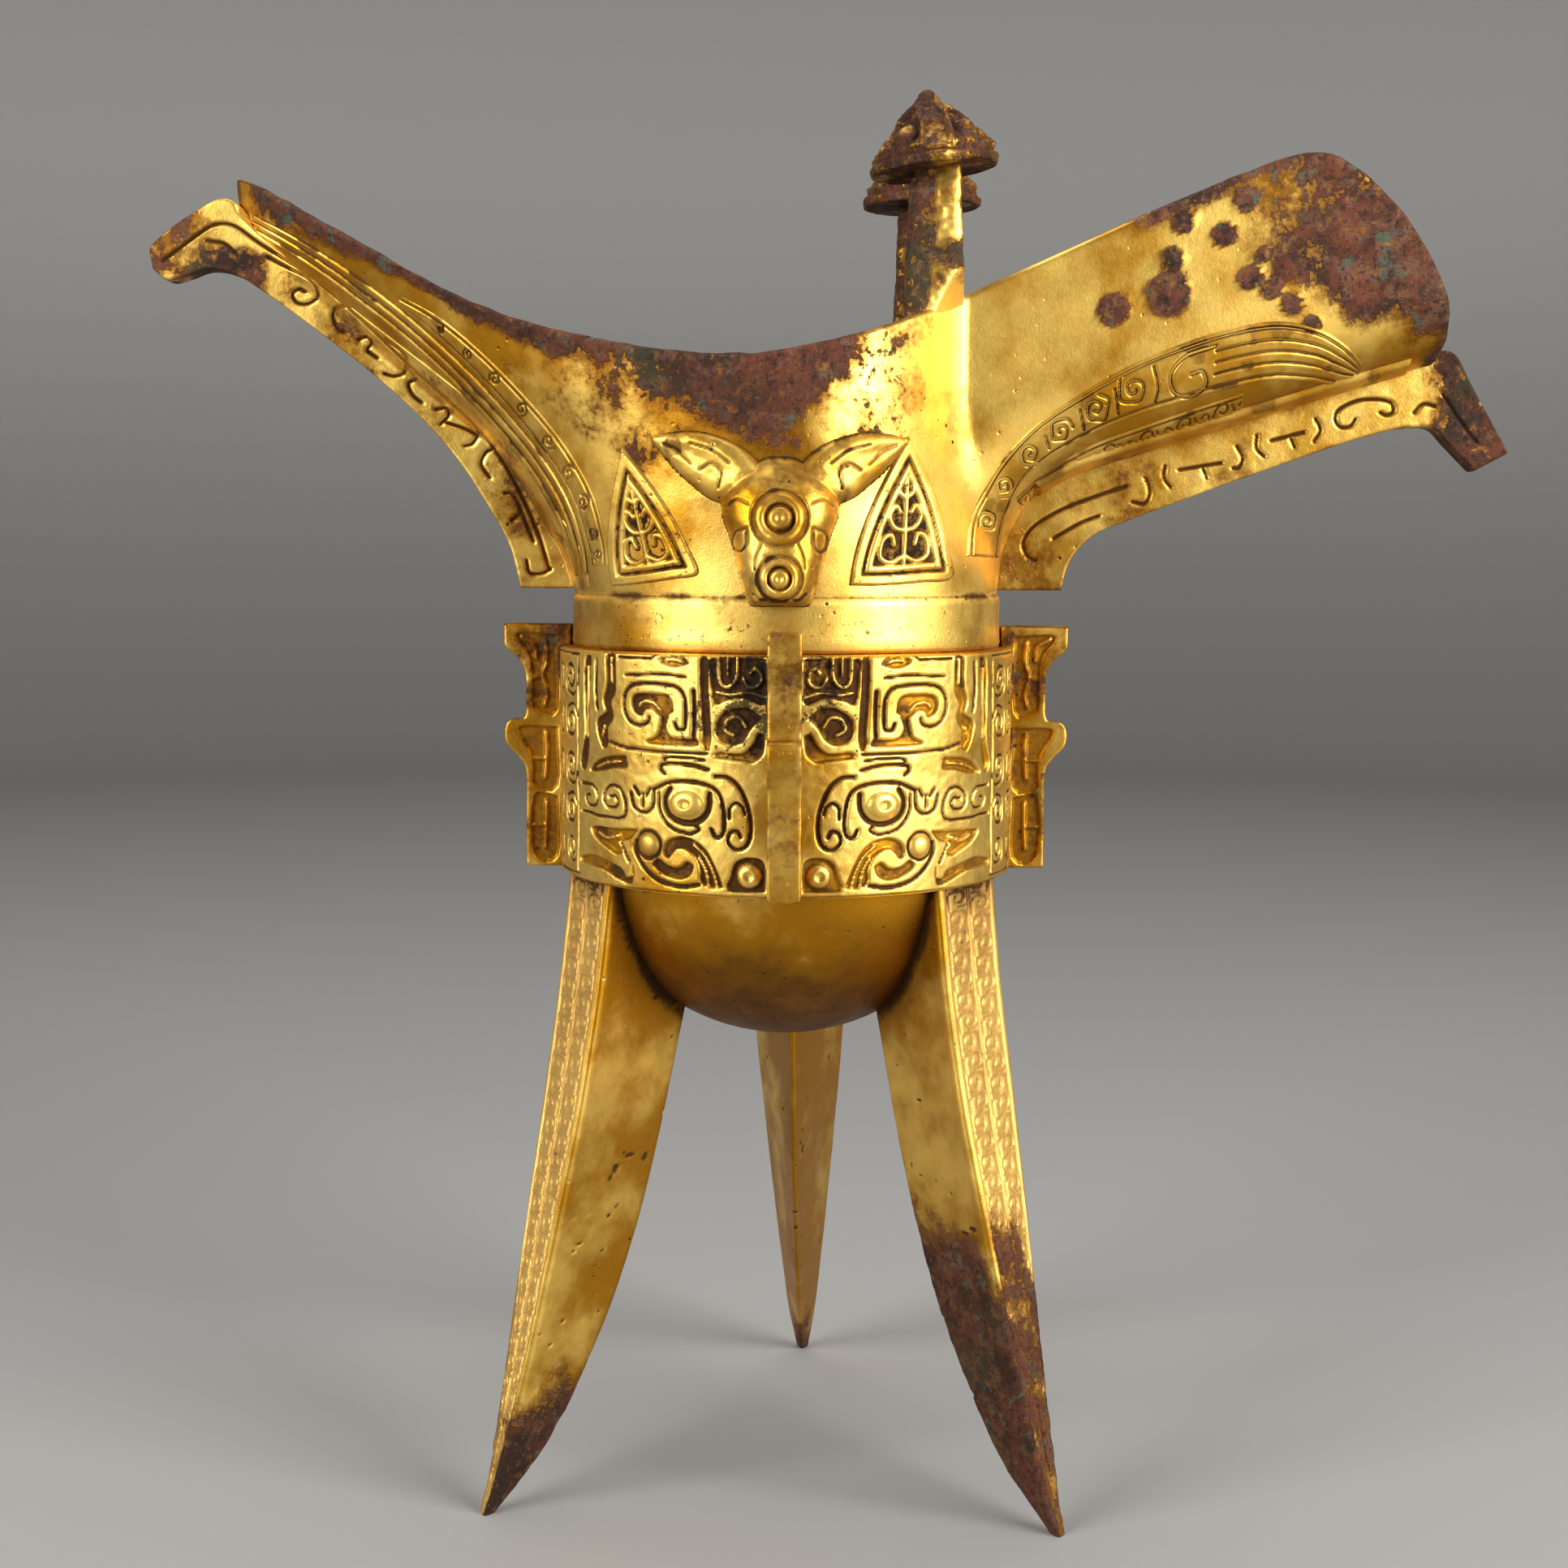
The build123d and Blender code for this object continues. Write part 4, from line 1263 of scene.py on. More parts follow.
@dataclass
class Frieze(Casting):
    """Mask ornament round the band, one panel between two flanges.

    The lines of a panel are (distance from the front flange, height over the band's lower edge). Ridges and
    grooves have their width first, and spirals are (centre, radius, turns, start, way).
    """

    seed: ClassVar[int] = 5
    band_r: float = 34.2
    low_z: float = 96.5
    height: float = 34.5
    start: float = 1.2
    end: float = 52.5
    spacing: float = 0.22
    back_spacing: float = 0.3
    land: float = 0.75
    seat: float = 0.45
    sunk_edge: float = 0.35
    thick: float = 0.5
    pocket_depth: float = 0.62
    ridge_height: float = 0.56
    groove_depth: float = 0.58
    groove_widening: float = 1.15
    curl_width: float = 0.75
    curl_depth: float = 0.55
    curl_square: float = 0.6
    light_grime: float = 0.72
    bosses: tuple = (
        ((14.1, 13.2), (2.4, 1.9), 0.85, 0.5),
        ((4.9, 3.2), (1.8, 1.8), 1.0, 0.45),
        ((20.3, 7.0), (1.6, 1.5), 0.6, 0.0),
    )
    boss_ring: tuple = ((20.3, 7.0), (2.1, 2.0), 0.7, 0.42)
    pockets: tuple[Line, ...] = (
        ((2.6, 34), (10.2, 34), (10.5, 31.5), (10.3, 28.6), (9.6, 27.5), (8.2, 28.1), (5.5, 28.5),
         (2.7, 27.8)),
        ((3.2, 25.7), (5, 27), (7.4, 26.9), (9.3, 25.6), (9.8, 23.7), (8.9, 22.2), (7, 21.8), (5.6, 22.6),
         (4.6, 24.2)),
        ((2.7, 23.2), (3.6, 23.4), (4.6, 21.7), (6.2, 20.6), (9.2, 20.8), (9.8, 20), (6, 19.6), (4.4, 19.4),
         (3, 20.6)),
        ((10.9, 34), (12, 34), (12, 28), (11.7, 23.6), (11.8, 21.9), (10.9, 20.9), (10.4, 23), (10.7, 28)),
        ((12.6, 22.6), (15.8, 22.5), (17, 23), (17.4, 24.2), (16.9, 25.9), (18.1, 25.8), (18.4, 24.2),
         (19, 22.7), (20.6, 21.7), (16, 21.5), (12.4, 21.6)),
        ((16.2, 26.3), (16.5, 27.9), (17.8, 28.7), (22.2, 28.6), (23.3, 27.5), (22.9, 26.1), (21.6, 25.5),
         (21, 26.3), (19.6, 26.5), (18.4, 25.6), (17.4, 25.7)),
        ((13.7, 33.1), (14.6, 34.1), (16, 34.4), (18, 34), (18.3, 33.3), (16.2, 32.6)),
        ((26.7, 34), (28.6, 34), (28.7, 30), (29.5, 27.4), (28.9, 25.7), (31, 24.5), (30.8, 22.4),
         (29.4, 20.4), (28.3, 21.2), (28.5, 23.3), (27.2, 25), (27.8, 27.2), (26.7, 29)),
        ((8.6, 1.5), (9.6, 4), (11, 6.6), (12.8, 8), (15, 8.4), (17, 7.7), (17.8, 6.2), (17, 5.3),
         (16.3, 6.1), (15.4, 6.8), (14, 6.6), (12.6, 5.5), (12, 3.8), (12, 2.2), (10.4, 1.4)),
        ((13, 4.4), (13.5, 3.1), (15, 2.4), (17.6, 2.9), (19.4, 4.2), (18.6, 5), (17, 4.1), (15.2, 4),
         (14, 4.9)),
        ((22.3, 9), (25.5, 8.8), (31.9, 8.6), (32.6, 7.8), (30.6, 6.5), (28.6, 5.8), (26.6, 5.1),
         (25.3, 5.6), (26.4, 6.8), (25, 7.2), (23.6, 7.7)),
        ((23.2, 3.6), (23.2, 2.2), (24.6, 1.8), (25.4, 2.9), (28, 3.6), (32, 4.3), (36, 3.8), (35.8, 2.8),
         (30, 2.6), (26, 1.4), (23.6, 1.1)),
        ((2.6, 1), (2.7, 5), (4.6, 5.9), (6.8, 5.2), (7.6, 3), (7.9, 1.1)),
        ((32.6, 33.6), (34.4, 33.2), (34.8, 27), (34.6, 22), (36, 18), (34.6, 16.8), (33.4, 20), (33.2, 27)),
        ((24.6, 19.5), (28.2, 19.2), (31, 18.4), (33, 16.8), (30.2, 16.9), (27, 17.6), (24.4, 17.9)),
    )
    ridges: tuple = (
        (0.7, ((4.9, 31.9), (4.1, 32.6), (3.2, 31.6), (3.6, 30.3), (5, 30), (5.8, 31.2))),
        (0.75, ((6.6, 34.2), (6.8, 31.2), (8, 30), (9.2, 30.8), (9.4, 34.2))), (0.55, ((8, 34), (8, 31.7))),
        (0.6, ((2.8, 28.6), (5, 29.2), (7.6, 28.9), (9.6, 29.2))),
        (0.7, ((5.4, 24.4), (6.4, 25.7), (8, 25.4), (8.5, 24), (7.3, 23.2))),
        (0.5, ((18.4, 26.4), (19.6, 27.4), (21.4, 27.5), (22.1, 26.8))),
        (0.5, ((14.8, 33.4), (16.4, 33.7), (17.4, 33.5))),
        (0.55, ((9.5, 1.6), (10.3, 4), (11.5, 6.1), (13, 7.4))),
        (0.5, ((10.8, 1.6), (11.2, 3.6), (12.2, 5.6))), (0.7, ((26.4, 7.7), (29, 7.2), (31, 7.8))),
        (0.6, ((27.6, 33.6), (27.7, 30))), (0.55, ((29.4, 23.6), (29.9, 22))),
        (0.6, ((33.8, 32), (34, 26), (34, 21.6))), (0.55, ((26, 18.6), (29, 18.2), (31.4, 17.4))),
    )
    grooves: tuple = (
        (0.8, ((13, 29.3), (12.9, 26), (13, 22.9))), (0.8, ((31.2, 33), (31.3, 28.8), (31, 26))),
        (0.6, ((15.9, 24.7), (15.4, 23.8), (14.4, 24), (14.2, 26), (14.4, 28.3), (15.5, 29.7), (18, 30.1),
               (22.4, 30), (24.4, 28.9), (24.9, 26.7), (23.9, 24.8), (22.1, 24.1), (20.6, 24.5),
               (20.2, 25.3))),
        (0.45, ((14.2, 31.2), (18, 31.5), (24.6, 31.2))),
        (0.45, ((19.2, 34.3), (20.2, 33.7), (22, 33.8), (26, 33.7))),
        (0.5, ((11, 20.5), (17, 20.5), (24, 20.7), (28, 21.4))),
        (0.65, ((17.6, 17.4), (18.3, 18.1), (17.4, 18.8), (13.5, 18.8), (10.8, 18.2))),
        (0.5, ((17.7, 19.3), (17, 19.7), (13.8, 19.8), (11.4, 19.5))),
        (0.7, ((9.8, 17.3), (8, 17.2), (6.4, 16), (5.3, 13.8), (4.7, 11.4), (4.7, 9), (5.4, 7.4), (6.8, 7),
               (7.9, 8), (7.6, 9.3), (6.6, 9.6), (6.1, 8.8))),
        (0.55, ((7.7, 11.4), (7.6, 12.9), (6.7, 13.6), (5.8, 13), (5.5, 12))),
        (0.7, ((10.3, 9.7), (9.7, 8.7), (8.8, 8.9), (8.4, 10.4), (8.6, 12.8), (9.2, 14.8), (10.6, 15.9),
               (13.4, 16.4), (16.6, 16.2), (19.6, 15))),
        (1,
         ((10.6, 14.8), (10.8, 12.5), (12.1, 10.9), (14.4, 10.5), (16.7, 11.5), (17.5, 13.6), (16.7, 15.3))),
        (0.5, ((18.6, 14.6), (18.2, 11.8), (16.4, 9.7), (13.6, 9), (12.2, 9.6), (12.6, 10.2))),
        (0.6, ((19.4, 14.8), (19.6, 12.6), (21, 11.6), (22.8, 12.2), (23.5, 14.2))),
        (0.55, ((21.4, 12.4), (21.4, 14.2))), (0.55, ((20.8, 14.1), (20.1, 15.1))),
        (0.55, ((22, 14.1), (22.8, 15.1))),
        (0.55, ((24.6, 13.2), (24.6, 11.3), (25.8, 10.4), (30, 10.3), (36, 10.6))),
        (0.55, ((24.6, 13), (25.7, 14.7), (27.8, 15), (29.3, 13.9), (29.4, 12.6), (28.3, 11.8),
                (26.9, 11.9), (26.2, 12.7), (26.9, 13.5), (28.2, 13.3))),
        (0.55, ((35.6, 14.8), (32.3, 14.6), (31.1, 13.4), (31.4, 12), (32.6, 11.6), (34, 12), (34.2, 13),
                (33.1, 13.1))),
        (0.7, ((12.2, 1.7), (15, 1.3), (18.6, 2), (21, 3.6), (22.6, 5.8), (22.6, 7.4))),
        (0.5, ((24, 4.3), (24.8, 5.6), (25.6, 6.8))), (0.45, ((36.5, 0.9), (44, 0.9), (51.5, 0.9))),
        (0.45, ((36.5, 33.8), (44, 33.8), (51.5, 33.8))), (0.5, ((50.2, 1.5), (50.2, 33))),
        (0.5, ((37, 1.5), (36.8, 9), (37, 20), (36.6, 33))),
    )
    spirals: tuple = (
        ((40, 30.2), 2.7, 1.9, 200, 1), ((46.6, 30.2), 2.7, 1.9, 340, -1), ((40, 23.6), 2.8, 1.9, 160, -1),
        ((46.6, 23.6), 2.8, 1.9, 20, 1), ((40, 16.9), 2.7, 1.9, 200, 1), ((46.6, 16.9), 2.7, 1.9, 340, -1),
        ((40, 10.4), 2.6, 1.9, 160, -1), ((46.6, 10.4), 2.6, 1.9, 20, 1), ((40, 4.6), 2.2, 1.7, 200, 1),
        ((46.4, 4.6), 2.2, 1.7, 340, -1),
    )

    def relief(self, u: Array, v: Array) -> Relief:
        """Ornament of one panel over its unrolled face.

        Args:
            u: Distances from the front flange.
            v: Heights over the band's lower edge.

        Returns:
            The heights at each point.
        """
        relief = Relief(u, v)
        for points in self.pockets:
            relief.pocket(self.pocket_depth, points)
        for width, points in self.ridges:
            relief.ridge(width, self.ridge_height, points)
        relief.rise = np.minimum(relief.rise, relief.sunk)
        for width, points in self.grooves:
            relief.groove(width * self.groove_widening, self.groove_depth, points)
        for curl in self.spirals:
            relief.groove(self.curl_width, self.curl_depth, spiral(*curl, self.curl_square), 4)
        relief.ring(*self.boss_ring)
        for boss in self.bosses:
            relief.boss(*boss)
        return relief

    def build(self) -> None:
        """Makes the four panels."""
        for side in Side:
            for depth in Side:
                across = "right" if side is Side.PLUS else "left"
                end = "front" if depth is Side.MINUS else "back"
                self.panel(f"frieze_{across}_{end}", side.value, depth.value)

    def panel(self, name: str, side: int, depth: int) -> None:
        """Makes one panel.

        Args:
            name: Name of the piece.
            side: 1 on the spout side, -1 on the tail side.
            depth: -1 in front, 1 behind.
        """
        spacing = self.spacing if depth < 0 else self.back_spacing
        size = (int((self.end - self.start) / spacing), int(self.height / spacing))
        heavy = 1.0 if side < 0 else self.light_grime

        def place(u: Array, v: Array) -> Placed:
            """Relief wrapped round the band.

            Args:
                u: Share of the panel's width.
                v: Share of its height.

            Returns:
                Points and painted values.
            """
            along = self.start + u * (self.end - self.start)
            up = v * self.height
            relief = self.relief(along, up)
            border = np.minimum.reduce([up, self.height - up, along - self.start, self.end - along])
            seat = ease(border / self.seat)
            turn = along / self.band_r
            flat = np.stack([along * side, up, np.full(len(u), 40.0 * depth)], 1)
            wear = 0.22 * self.lumps.waver(flat, 5) + 0.06 * (self.lumps.at(flat, 0.8) - 0.5)
            height = (self.land + relief.height() + wear) * seat - self.sunk_edge * (1 - seat)
            reach = self.band_r + height
            points = np.stack([side * reach * np.sin(turn), depth * reach * np.cos(turn), self.low_z + up], 1)
            stain = self.lumps.rough(flat, 5)
            worn = self.lumps.patches(flat, 9, 0.4, 0.2)
            centre = bell(along, 0, 10)
            ground = relief.amber()
            dirt = relief.dirt() * (0.95 + 0.45 * worn)
            dirt = dirt + heavy * ground * (0.25 + 0.5 * worn + 0.25 * rise(up, 18, 6))
            dirt = dirt + 0.35 * self.lumps.patches(flat, 6) + 0.5 * centre * stain * rise(up, 18, 5)
            tone = 0.9 * ground + 0.55 * centre * rise(up, 5, 3) * fall(up, 19, 3) + 0.3 * rise(-up, -9, 9)
            soot = 0.42 * bell(along, 0, 13) * rise(up, 14, 12)
            soot = 0.12 + heavy * (0.2 + soot) + 0.25 * (stain - 0.4)
            return points, {"grime": dirt, "shade": tone, "soot": soot}

        self.sheet(name, size, place, depth, self.thick)


@dataclass
class Strip:
    """Points of a ribbon: their relief, the distances along and across, and the width there."""

    relief: Relief
    along: Array
    across: Array
    width: Array

    def lines(self, wide: float, deep: float, *shares: float) -> None:
        """Cuts lines along the ribbon, at shares of its width."""
        for share in shares:
            self.relief.stripe(np.abs(self.across - share * self.width), wide, deep)


@dataclass
class MouthOrnament(Casting):
    """Relief that lies on the mouth's wall: blades, spout and tail bands.

    Everything is drawn in the side view. A blade is its tip and the two ends of its base, the bands give the
    points (x, z) of their two edges side by side, and their curls are (x, z, radius).
    """

    seed: ClassVar[int] = 23
    mouth: Mouth
    blades: tuple[Line, ...] = (
        ((17.3, 162), (8.8, 140.6), (24.1, 141.6)), ((-23.3, 160.3), (-25.4, 140.2), (-12.2, 142.2)),
    )
    spout_band: Edges = (
        (26.5, 144.6, 32, 144.4), (27.1, 150, 32.4, 149.6), (29.2, 154.5, 33.6, 153.4),
        (32.2, 159.3, 35.8, 157.2), (37, 164.3, 39.6, 160.2), (43, 168.4, 45.4, 163.4), (50, 172.5, 52, 166),
        (57, 175.5, 58, 167.8), (64, 177.8, 65, 169.8), (71, 179, 71.5, 171.1), (77, 178.2, 77.5, 171.2),
        (82, 175.9, 82, 171), (86, 172.9, 86, 171.8),
    )
    spout_strip: Edges = (
        (34.2, 153.4, 35.6, 151.6), (38.6, 157.2, 40, 154.6), (45.4, 161.2, 46.6, 158.2),
        (53.4, 164.2, 54.4, 161.2), (61, 166.8, 61.8, 164), (68, 169, 68.6, 166.8),
    )
    spout_rib: Edges = (
        (37.2, 155.6, 38, 154.5), (43.6, 159.2, 44.2, 158), (55, 162.8, 55.4, 161.6),
        (68.9, 167, 69.2, 165.8), (82.8, 171.3, 83.1, 170.1), (93.6, 174.5, 94, 173.3),
    )
    tail_leaf: Edges = (
        (-57.2, 182.5, -57.6, 181.9), (-50, 178.4, -51.4, 176.9), (-41.6, 171.2, -43.5, 169.4),
        (-33.4, 162.2, -35.8, 160.5), (-28.2, 154, -31, 152.9), (-26.2, 147, -29, 146.6),
        (-26, 143, -28.4, 143),
    )
    tail_strip: Edges = (
        (-81, 196.2, -82.4, 194), (-69.4, 189.8, -71.4, 187), (-58.5, 182.2, -61.1, 179.4),
        (-51.9, 176.7, -54.3, 173.9), (-44, 169.2, -46.6, 166.4), (-36.3, 160.3, -39.5, 158.1),
        (-31.5, 152.7, -34.7, 150.7), (-29.5, 146.4, -32.5, 144.6), (-29, 141.7, -31.8, 141.3),
    )
    band_curls: tuple = (
        (29.8, 150, 1.6), (32.2, 155.3, 1.5), (36, 160, 1.6), (40.4, 163.4, 1.8), (45.4, 166.6, 2),
        (50.8, 169.4, 2.2),
    )
    band_lines: tuple[Line, ...] = (
        ((53.6, 172.6), (54.4, 169.6), (54.2, 167.8)), ((38, 162.6), (38.8, 161)),
        ((43, 166.4), (43.8, 163.8)), ((48, 169.4), (48.8, 166)),
    )
    band_scroll: Line = (
        (62.6, 175.6), (58.4, 174.2), (56.2, 171.6), (57, 169), (59.8, 168.6), (61.6, 170.2), (60.8, 172),
        (59.2, 171.6),
    )
    leaf_curls: tuple = (
        (-50.7, 177.6, 0.5), (-46.6, 174, 0.8), (-42.5, 170.3, 0.9), (-38.6, 166, 1), (-34.6, 161.3, 1.1),
        (-31.6, 156.7, 1.1), (-29.4, 152.4, 1.1), (-27.9, 148, 1), (-27.3, 144.8, 0.8),
    )
    strip_curl: Line = ((-1.3, -0.5), (-0.6, 0.7), (0.6, 0.8), (1, 0.1), (0.4, -0.4), (-0.2, 0))
    strip_pitch: float = 2.9
    fan_x: float = 62.5
    margin: float = 0.4
    seat: float = 0.5
    sunk_edge: float = 0.3
    band_thick: float = 0.4
    blade_thick: float = 0.5
    blade_spacing: float = 0.17
    back_spacing: float = 0.22
    blade_scrolls: tuple[Line, ...] = (
        ((0, 0.04), (0, 0.74)),
        ((0, 0.1), (0.34, 0.05), (0.66, 0.1), (0.66, 0.23), (0.42, 0.27), (0.3, 0.19)),
        ((0, 0.3), (0.34, 0.33), (0.56, 0.42), (0.4, 0.5), (0.2, 0.45)),
        ((0, 0.56), (0.34, 0.62), (0.34, 0.72)),
    )

    def on_wall(self, x: Array, z: Array, side: int, height: Array) -> Array:
        """Points on the wall, raised along its normals.

        Args:
            x: Places along the vessel.
            z: Levels.
            side: -1 in front, 1 behind.
            height: How far the points stand over the wall.

        Returns:
            The points in space.
        """
        gap = 0.05
        up = z - self.mouth.neck_z
        half_y = self.mouth.half_y
        slope_x = (half_y(x + gap, up) - half_y(x - gap, up)) / (2 * gap)
        slope_z = (half_y(x, up + gap) - half_y(x, up - gap)) / (2 * gap)
        normal = np.stack([-slope_x, np.ones(len(x)), -slope_z], 1)
        normal = normal / np.linalg.norm(normal, axis=1, keepdims=True)
        points = np.stack([x, half_y(x, up), z], 1) + normal * height[:, None]
        return points * (1, side, 1)

    def ribbon(self, name: str, edges: Edges, side: int, size: Faces, land: float, draw: Callable) -> None:
        """Makes a sheet between two lines of the side view.

        Args:
            name: Name of the piece.
            edges: Points of both lines side by side.
            side: -1 in front, 1 behind.
            size: Faces along and across the sheet.
            land: Height of its land over the wall.
            draw: Cuts the ornament into the strip.
        """
        line = smooth_line(edges, 16)
        marks = lengths((line[:, :2] + line[:, 2:]) / 2)

        def place(u: Array, v: Array) -> Placed:
            """Relief between the two lines, sunk into the wall at its border.

            Args:
                u: Share along the lines.
                v: Share of the way from the first to the second.

            Returns:
                Points and painted values.
            """
            along = u * marks[-1]
            edge = along_line(along, marks, line)
            width = np.hypot(edge[:, 2] - edge[:, 0], edge[:, 3] - edge[:, 1])
            across = v * (width + 2 * self.margin) - self.margin
            share = across / width
            x = edge[:, 0] + (edge[:, 2] - edge[:, 0]) * share
            z = edge[:, 1] + (edge[:, 3] - edge[:, 1]) * share
            relief = Relief(x, z)
            draw(Strip(relief, along, across, width))
            border = np.minimum.reduce(
                [across + self.margin, width + self.margin - across, along, marks[-1] - along]
            )
            seat = ease(border / self.seat)
            height = (land - relief.cut + relief.rise) * seat - self.sunk_edge * (1 - seat)
            points = self.on_wall(x, z, side, height)
            dirt = 1.3 * relief.cut / 0.45 + 0.5 * self.lumps.patches(points, 4, 0.58)
            # shade: amber of the bands with painted shade of the tail and spout walls they lie on
            tone = np.where(x < 0, 0.55, 0.5)
            return points, {"grime": dirt, "shade": tone, "soot": np.full(len(x), 0.3)}

        self.sheet(name, size, place, side, self.band_thick)

    def draw_spout_band(self, strip: Strip) -> None:
        """Dragon that runs along the spout: border lines, spirals, a big curl and a fan of lines.

        Args:
            strip: Points of the ribbon.
        """
        relief = strip.relief
        strip.lines(0.6, 0.42, 0.09, 0.91)
        plain = relief.cut.copy()
        strip.lines(0.55, 0.38, 0.3, 0.5, 0.7)
        relief.cut = np.where(relief.u > self.fan_x, relief.cut, plain)
        for k, (x, z, r) in enumerate(self.band_curls):
            relief.groove(0.65, 0.42, spiral((x, z), r, 1.6, 200 + 60 * k, 1 if k % 2 else -1, 0.7), 4)
        relief.groove(0.8, 0.45, self.band_scroll)
        for line in self.band_lines:
            relief.groove(0.6, 0.42, line)

    def draw_strip(self, strip: Strip) -> None:
        """Row of small curls between two lines.

        Args:
            strip: Points of the ribbon.
        """
        strip.lines(0.5, 0.3, 0.1, 0.9)
        turn = (strip.along % self.strip_pitch) - self.strip_pitch / 2
        flip = np.where((strip.along // self.strip_pitch) % 2 > 0.5, -1.0, 1.0)
        curl = Relief(turn, (strip.across - strip.width / 2) * flip)
        curl.groove(0.45, 0.32, self.strip_curl)
        strip.relief.cut = np.maximum(strip.relief.cut, curl.cut)

    def draw_rib(self, strip: Strip) -> None:
        """Leaves a plain rib."""

    def draw_ridges(self, strip: Strip) -> None:
        """Rounded ridges that run along the tail keel."""
        strip.lines(0.7, 0.5, 0.02, 0.34, 0.66, 0.98)

    def draw_leaf(self, strip: Strip) -> None:
        """Leaf of square curls under the tail.

        Args:
            strip: Points of the ribbon.
        """
        strip.lines(0.55, 0.4, 0.1, 0.9)
        for k, (x, z, r) in enumerate(self.leaf_curls):
            curl = spiral((x, z), r, 1.4, 40 + 70 * k, 1 if k % 2 else -1, 0.7)
            strip.relief.groove(0.5, 0.36, curl, 4)

    def blade(self, name: str, corners: Line, side: int) -> None:
        """Makes a rising blade with nested rims and a scroll tree.

        Args:
            name: Name of the piece.
            corners: Its tip and the two ends of its base.
            side: -1 in front, 1 behind.
        """
        tip, left, right = (np.array(corner) for corner in corners)
        foot = (left + right) / 2
        half = (right - left) / 2

        def at(a: float, t: float) -> Spot:
            """Place at shares across and up the blade."""
            spot = foot + (tip - foot) * t + half * a * (1 - t**1.7)
            return float(spot[0]), float(spot[1])

        stops = (0, 0.2, 0.4, 0.6, 0.8, 0.93)
        outline = [at(-1, t) for t in stops] + [at(0, 1.0)] + [at(1, t) for t in stops[::-1]]
        closed = smooth_line([*outline, at(0.4, -0.015), at(-0.4, -0.015), outline[0]])
        low = closed.min(0) - 0.6
        span = closed.max(0) + 0.6 - low

        def place(u: Array, v: Array) -> Placed:
            """Rims and tree on the wall, sunk outside the outline.

            Args:
                u: Share of the width.
                v: Share of the height.

            Returns:
                Points and painted values.
            """
            x = low[0] + u * span[0]
            z = low[1] + v * span[1]
            deep = depth_inside(x, z, closed)
            border = 0.5 * rise(deep, 0.1, 0.35) * fall(deep, 1.35, 0.4)
            rims = np.maximum(border, 0.55 * bell(deep, 2.45, 0.5, 4))
            tree = Relief(x, z)
            for mirror in (-1, 1):
                for scroll in self.blade_scrolls:
                    tree.ridge(1.05, 0.55, [at(a * mirror * 0.72, 0.1 + t * 0.84) for a, t in scroll])
            raised = np.maximum(rims, tree.rise * rise(deep, 2.5, 0.4))
            where = np.stack([x, z, np.full(len(x), 30.0 * side)], 1)
            wear = 0.14 * self.lumps.waver(where, 3)
            points = self.on_wall(x, z, side, raised + 0.03 + wear - 0.5 * rise(-deep, -0.15, 0.3))
            ground = rise(deep, 1.3, 0.3) * fall(raised, 0.1, 0.3)
            dirt = ground * (0.45 + 0.55 * self.lumps.rough(where, 3)) + 0.6 * bell(deep, 0.05, 0.3)
            return points, {"grime": dirt, "shade": 0.15 + 0.6 * ground, "soot": 0.4 + 0.25 * ground}

        spacing = self.blade_spacing if side < 0 else self.back_spacing
        self.sheet(name, (int(span[0] / spacing), int(span[1] / spacing)), place, side, self.blade_thick)

    def build(self) -> None:
        """Makes every sheet on both sides."""
        for side in Side:
            end = "front" if side is Side.MINUS else "back"
            for name, corners in zip(("right", "left"), self.blades):
                self.blade(f"blade_{name}_{end}", corners, side.value)
            fine = (400, 48) if side is Side.MINUS else (300, 36)
            for name, edges, size, land, draw in (
                ("spout_band", self.spout_band, fine, 0.35, self.draw_spout_band),
                ("spout_strip", self.spout_strip, (210, 22), 0.25, self.draw_strip),
                ("spout_rib", self.spout_rib, (200, 14), 0.75, self.draw_rib),
                ("tail_leaf", self.tail_leaf, (220, 26), 0.3, self.draw_leaf),
                ("tail_ridges", self.tail_strip, (260, 24), 0.35, self.draw_ridges),
            ):
                self.ribbon(f"{name}_{end}", edges, side.value, size, land, draw)


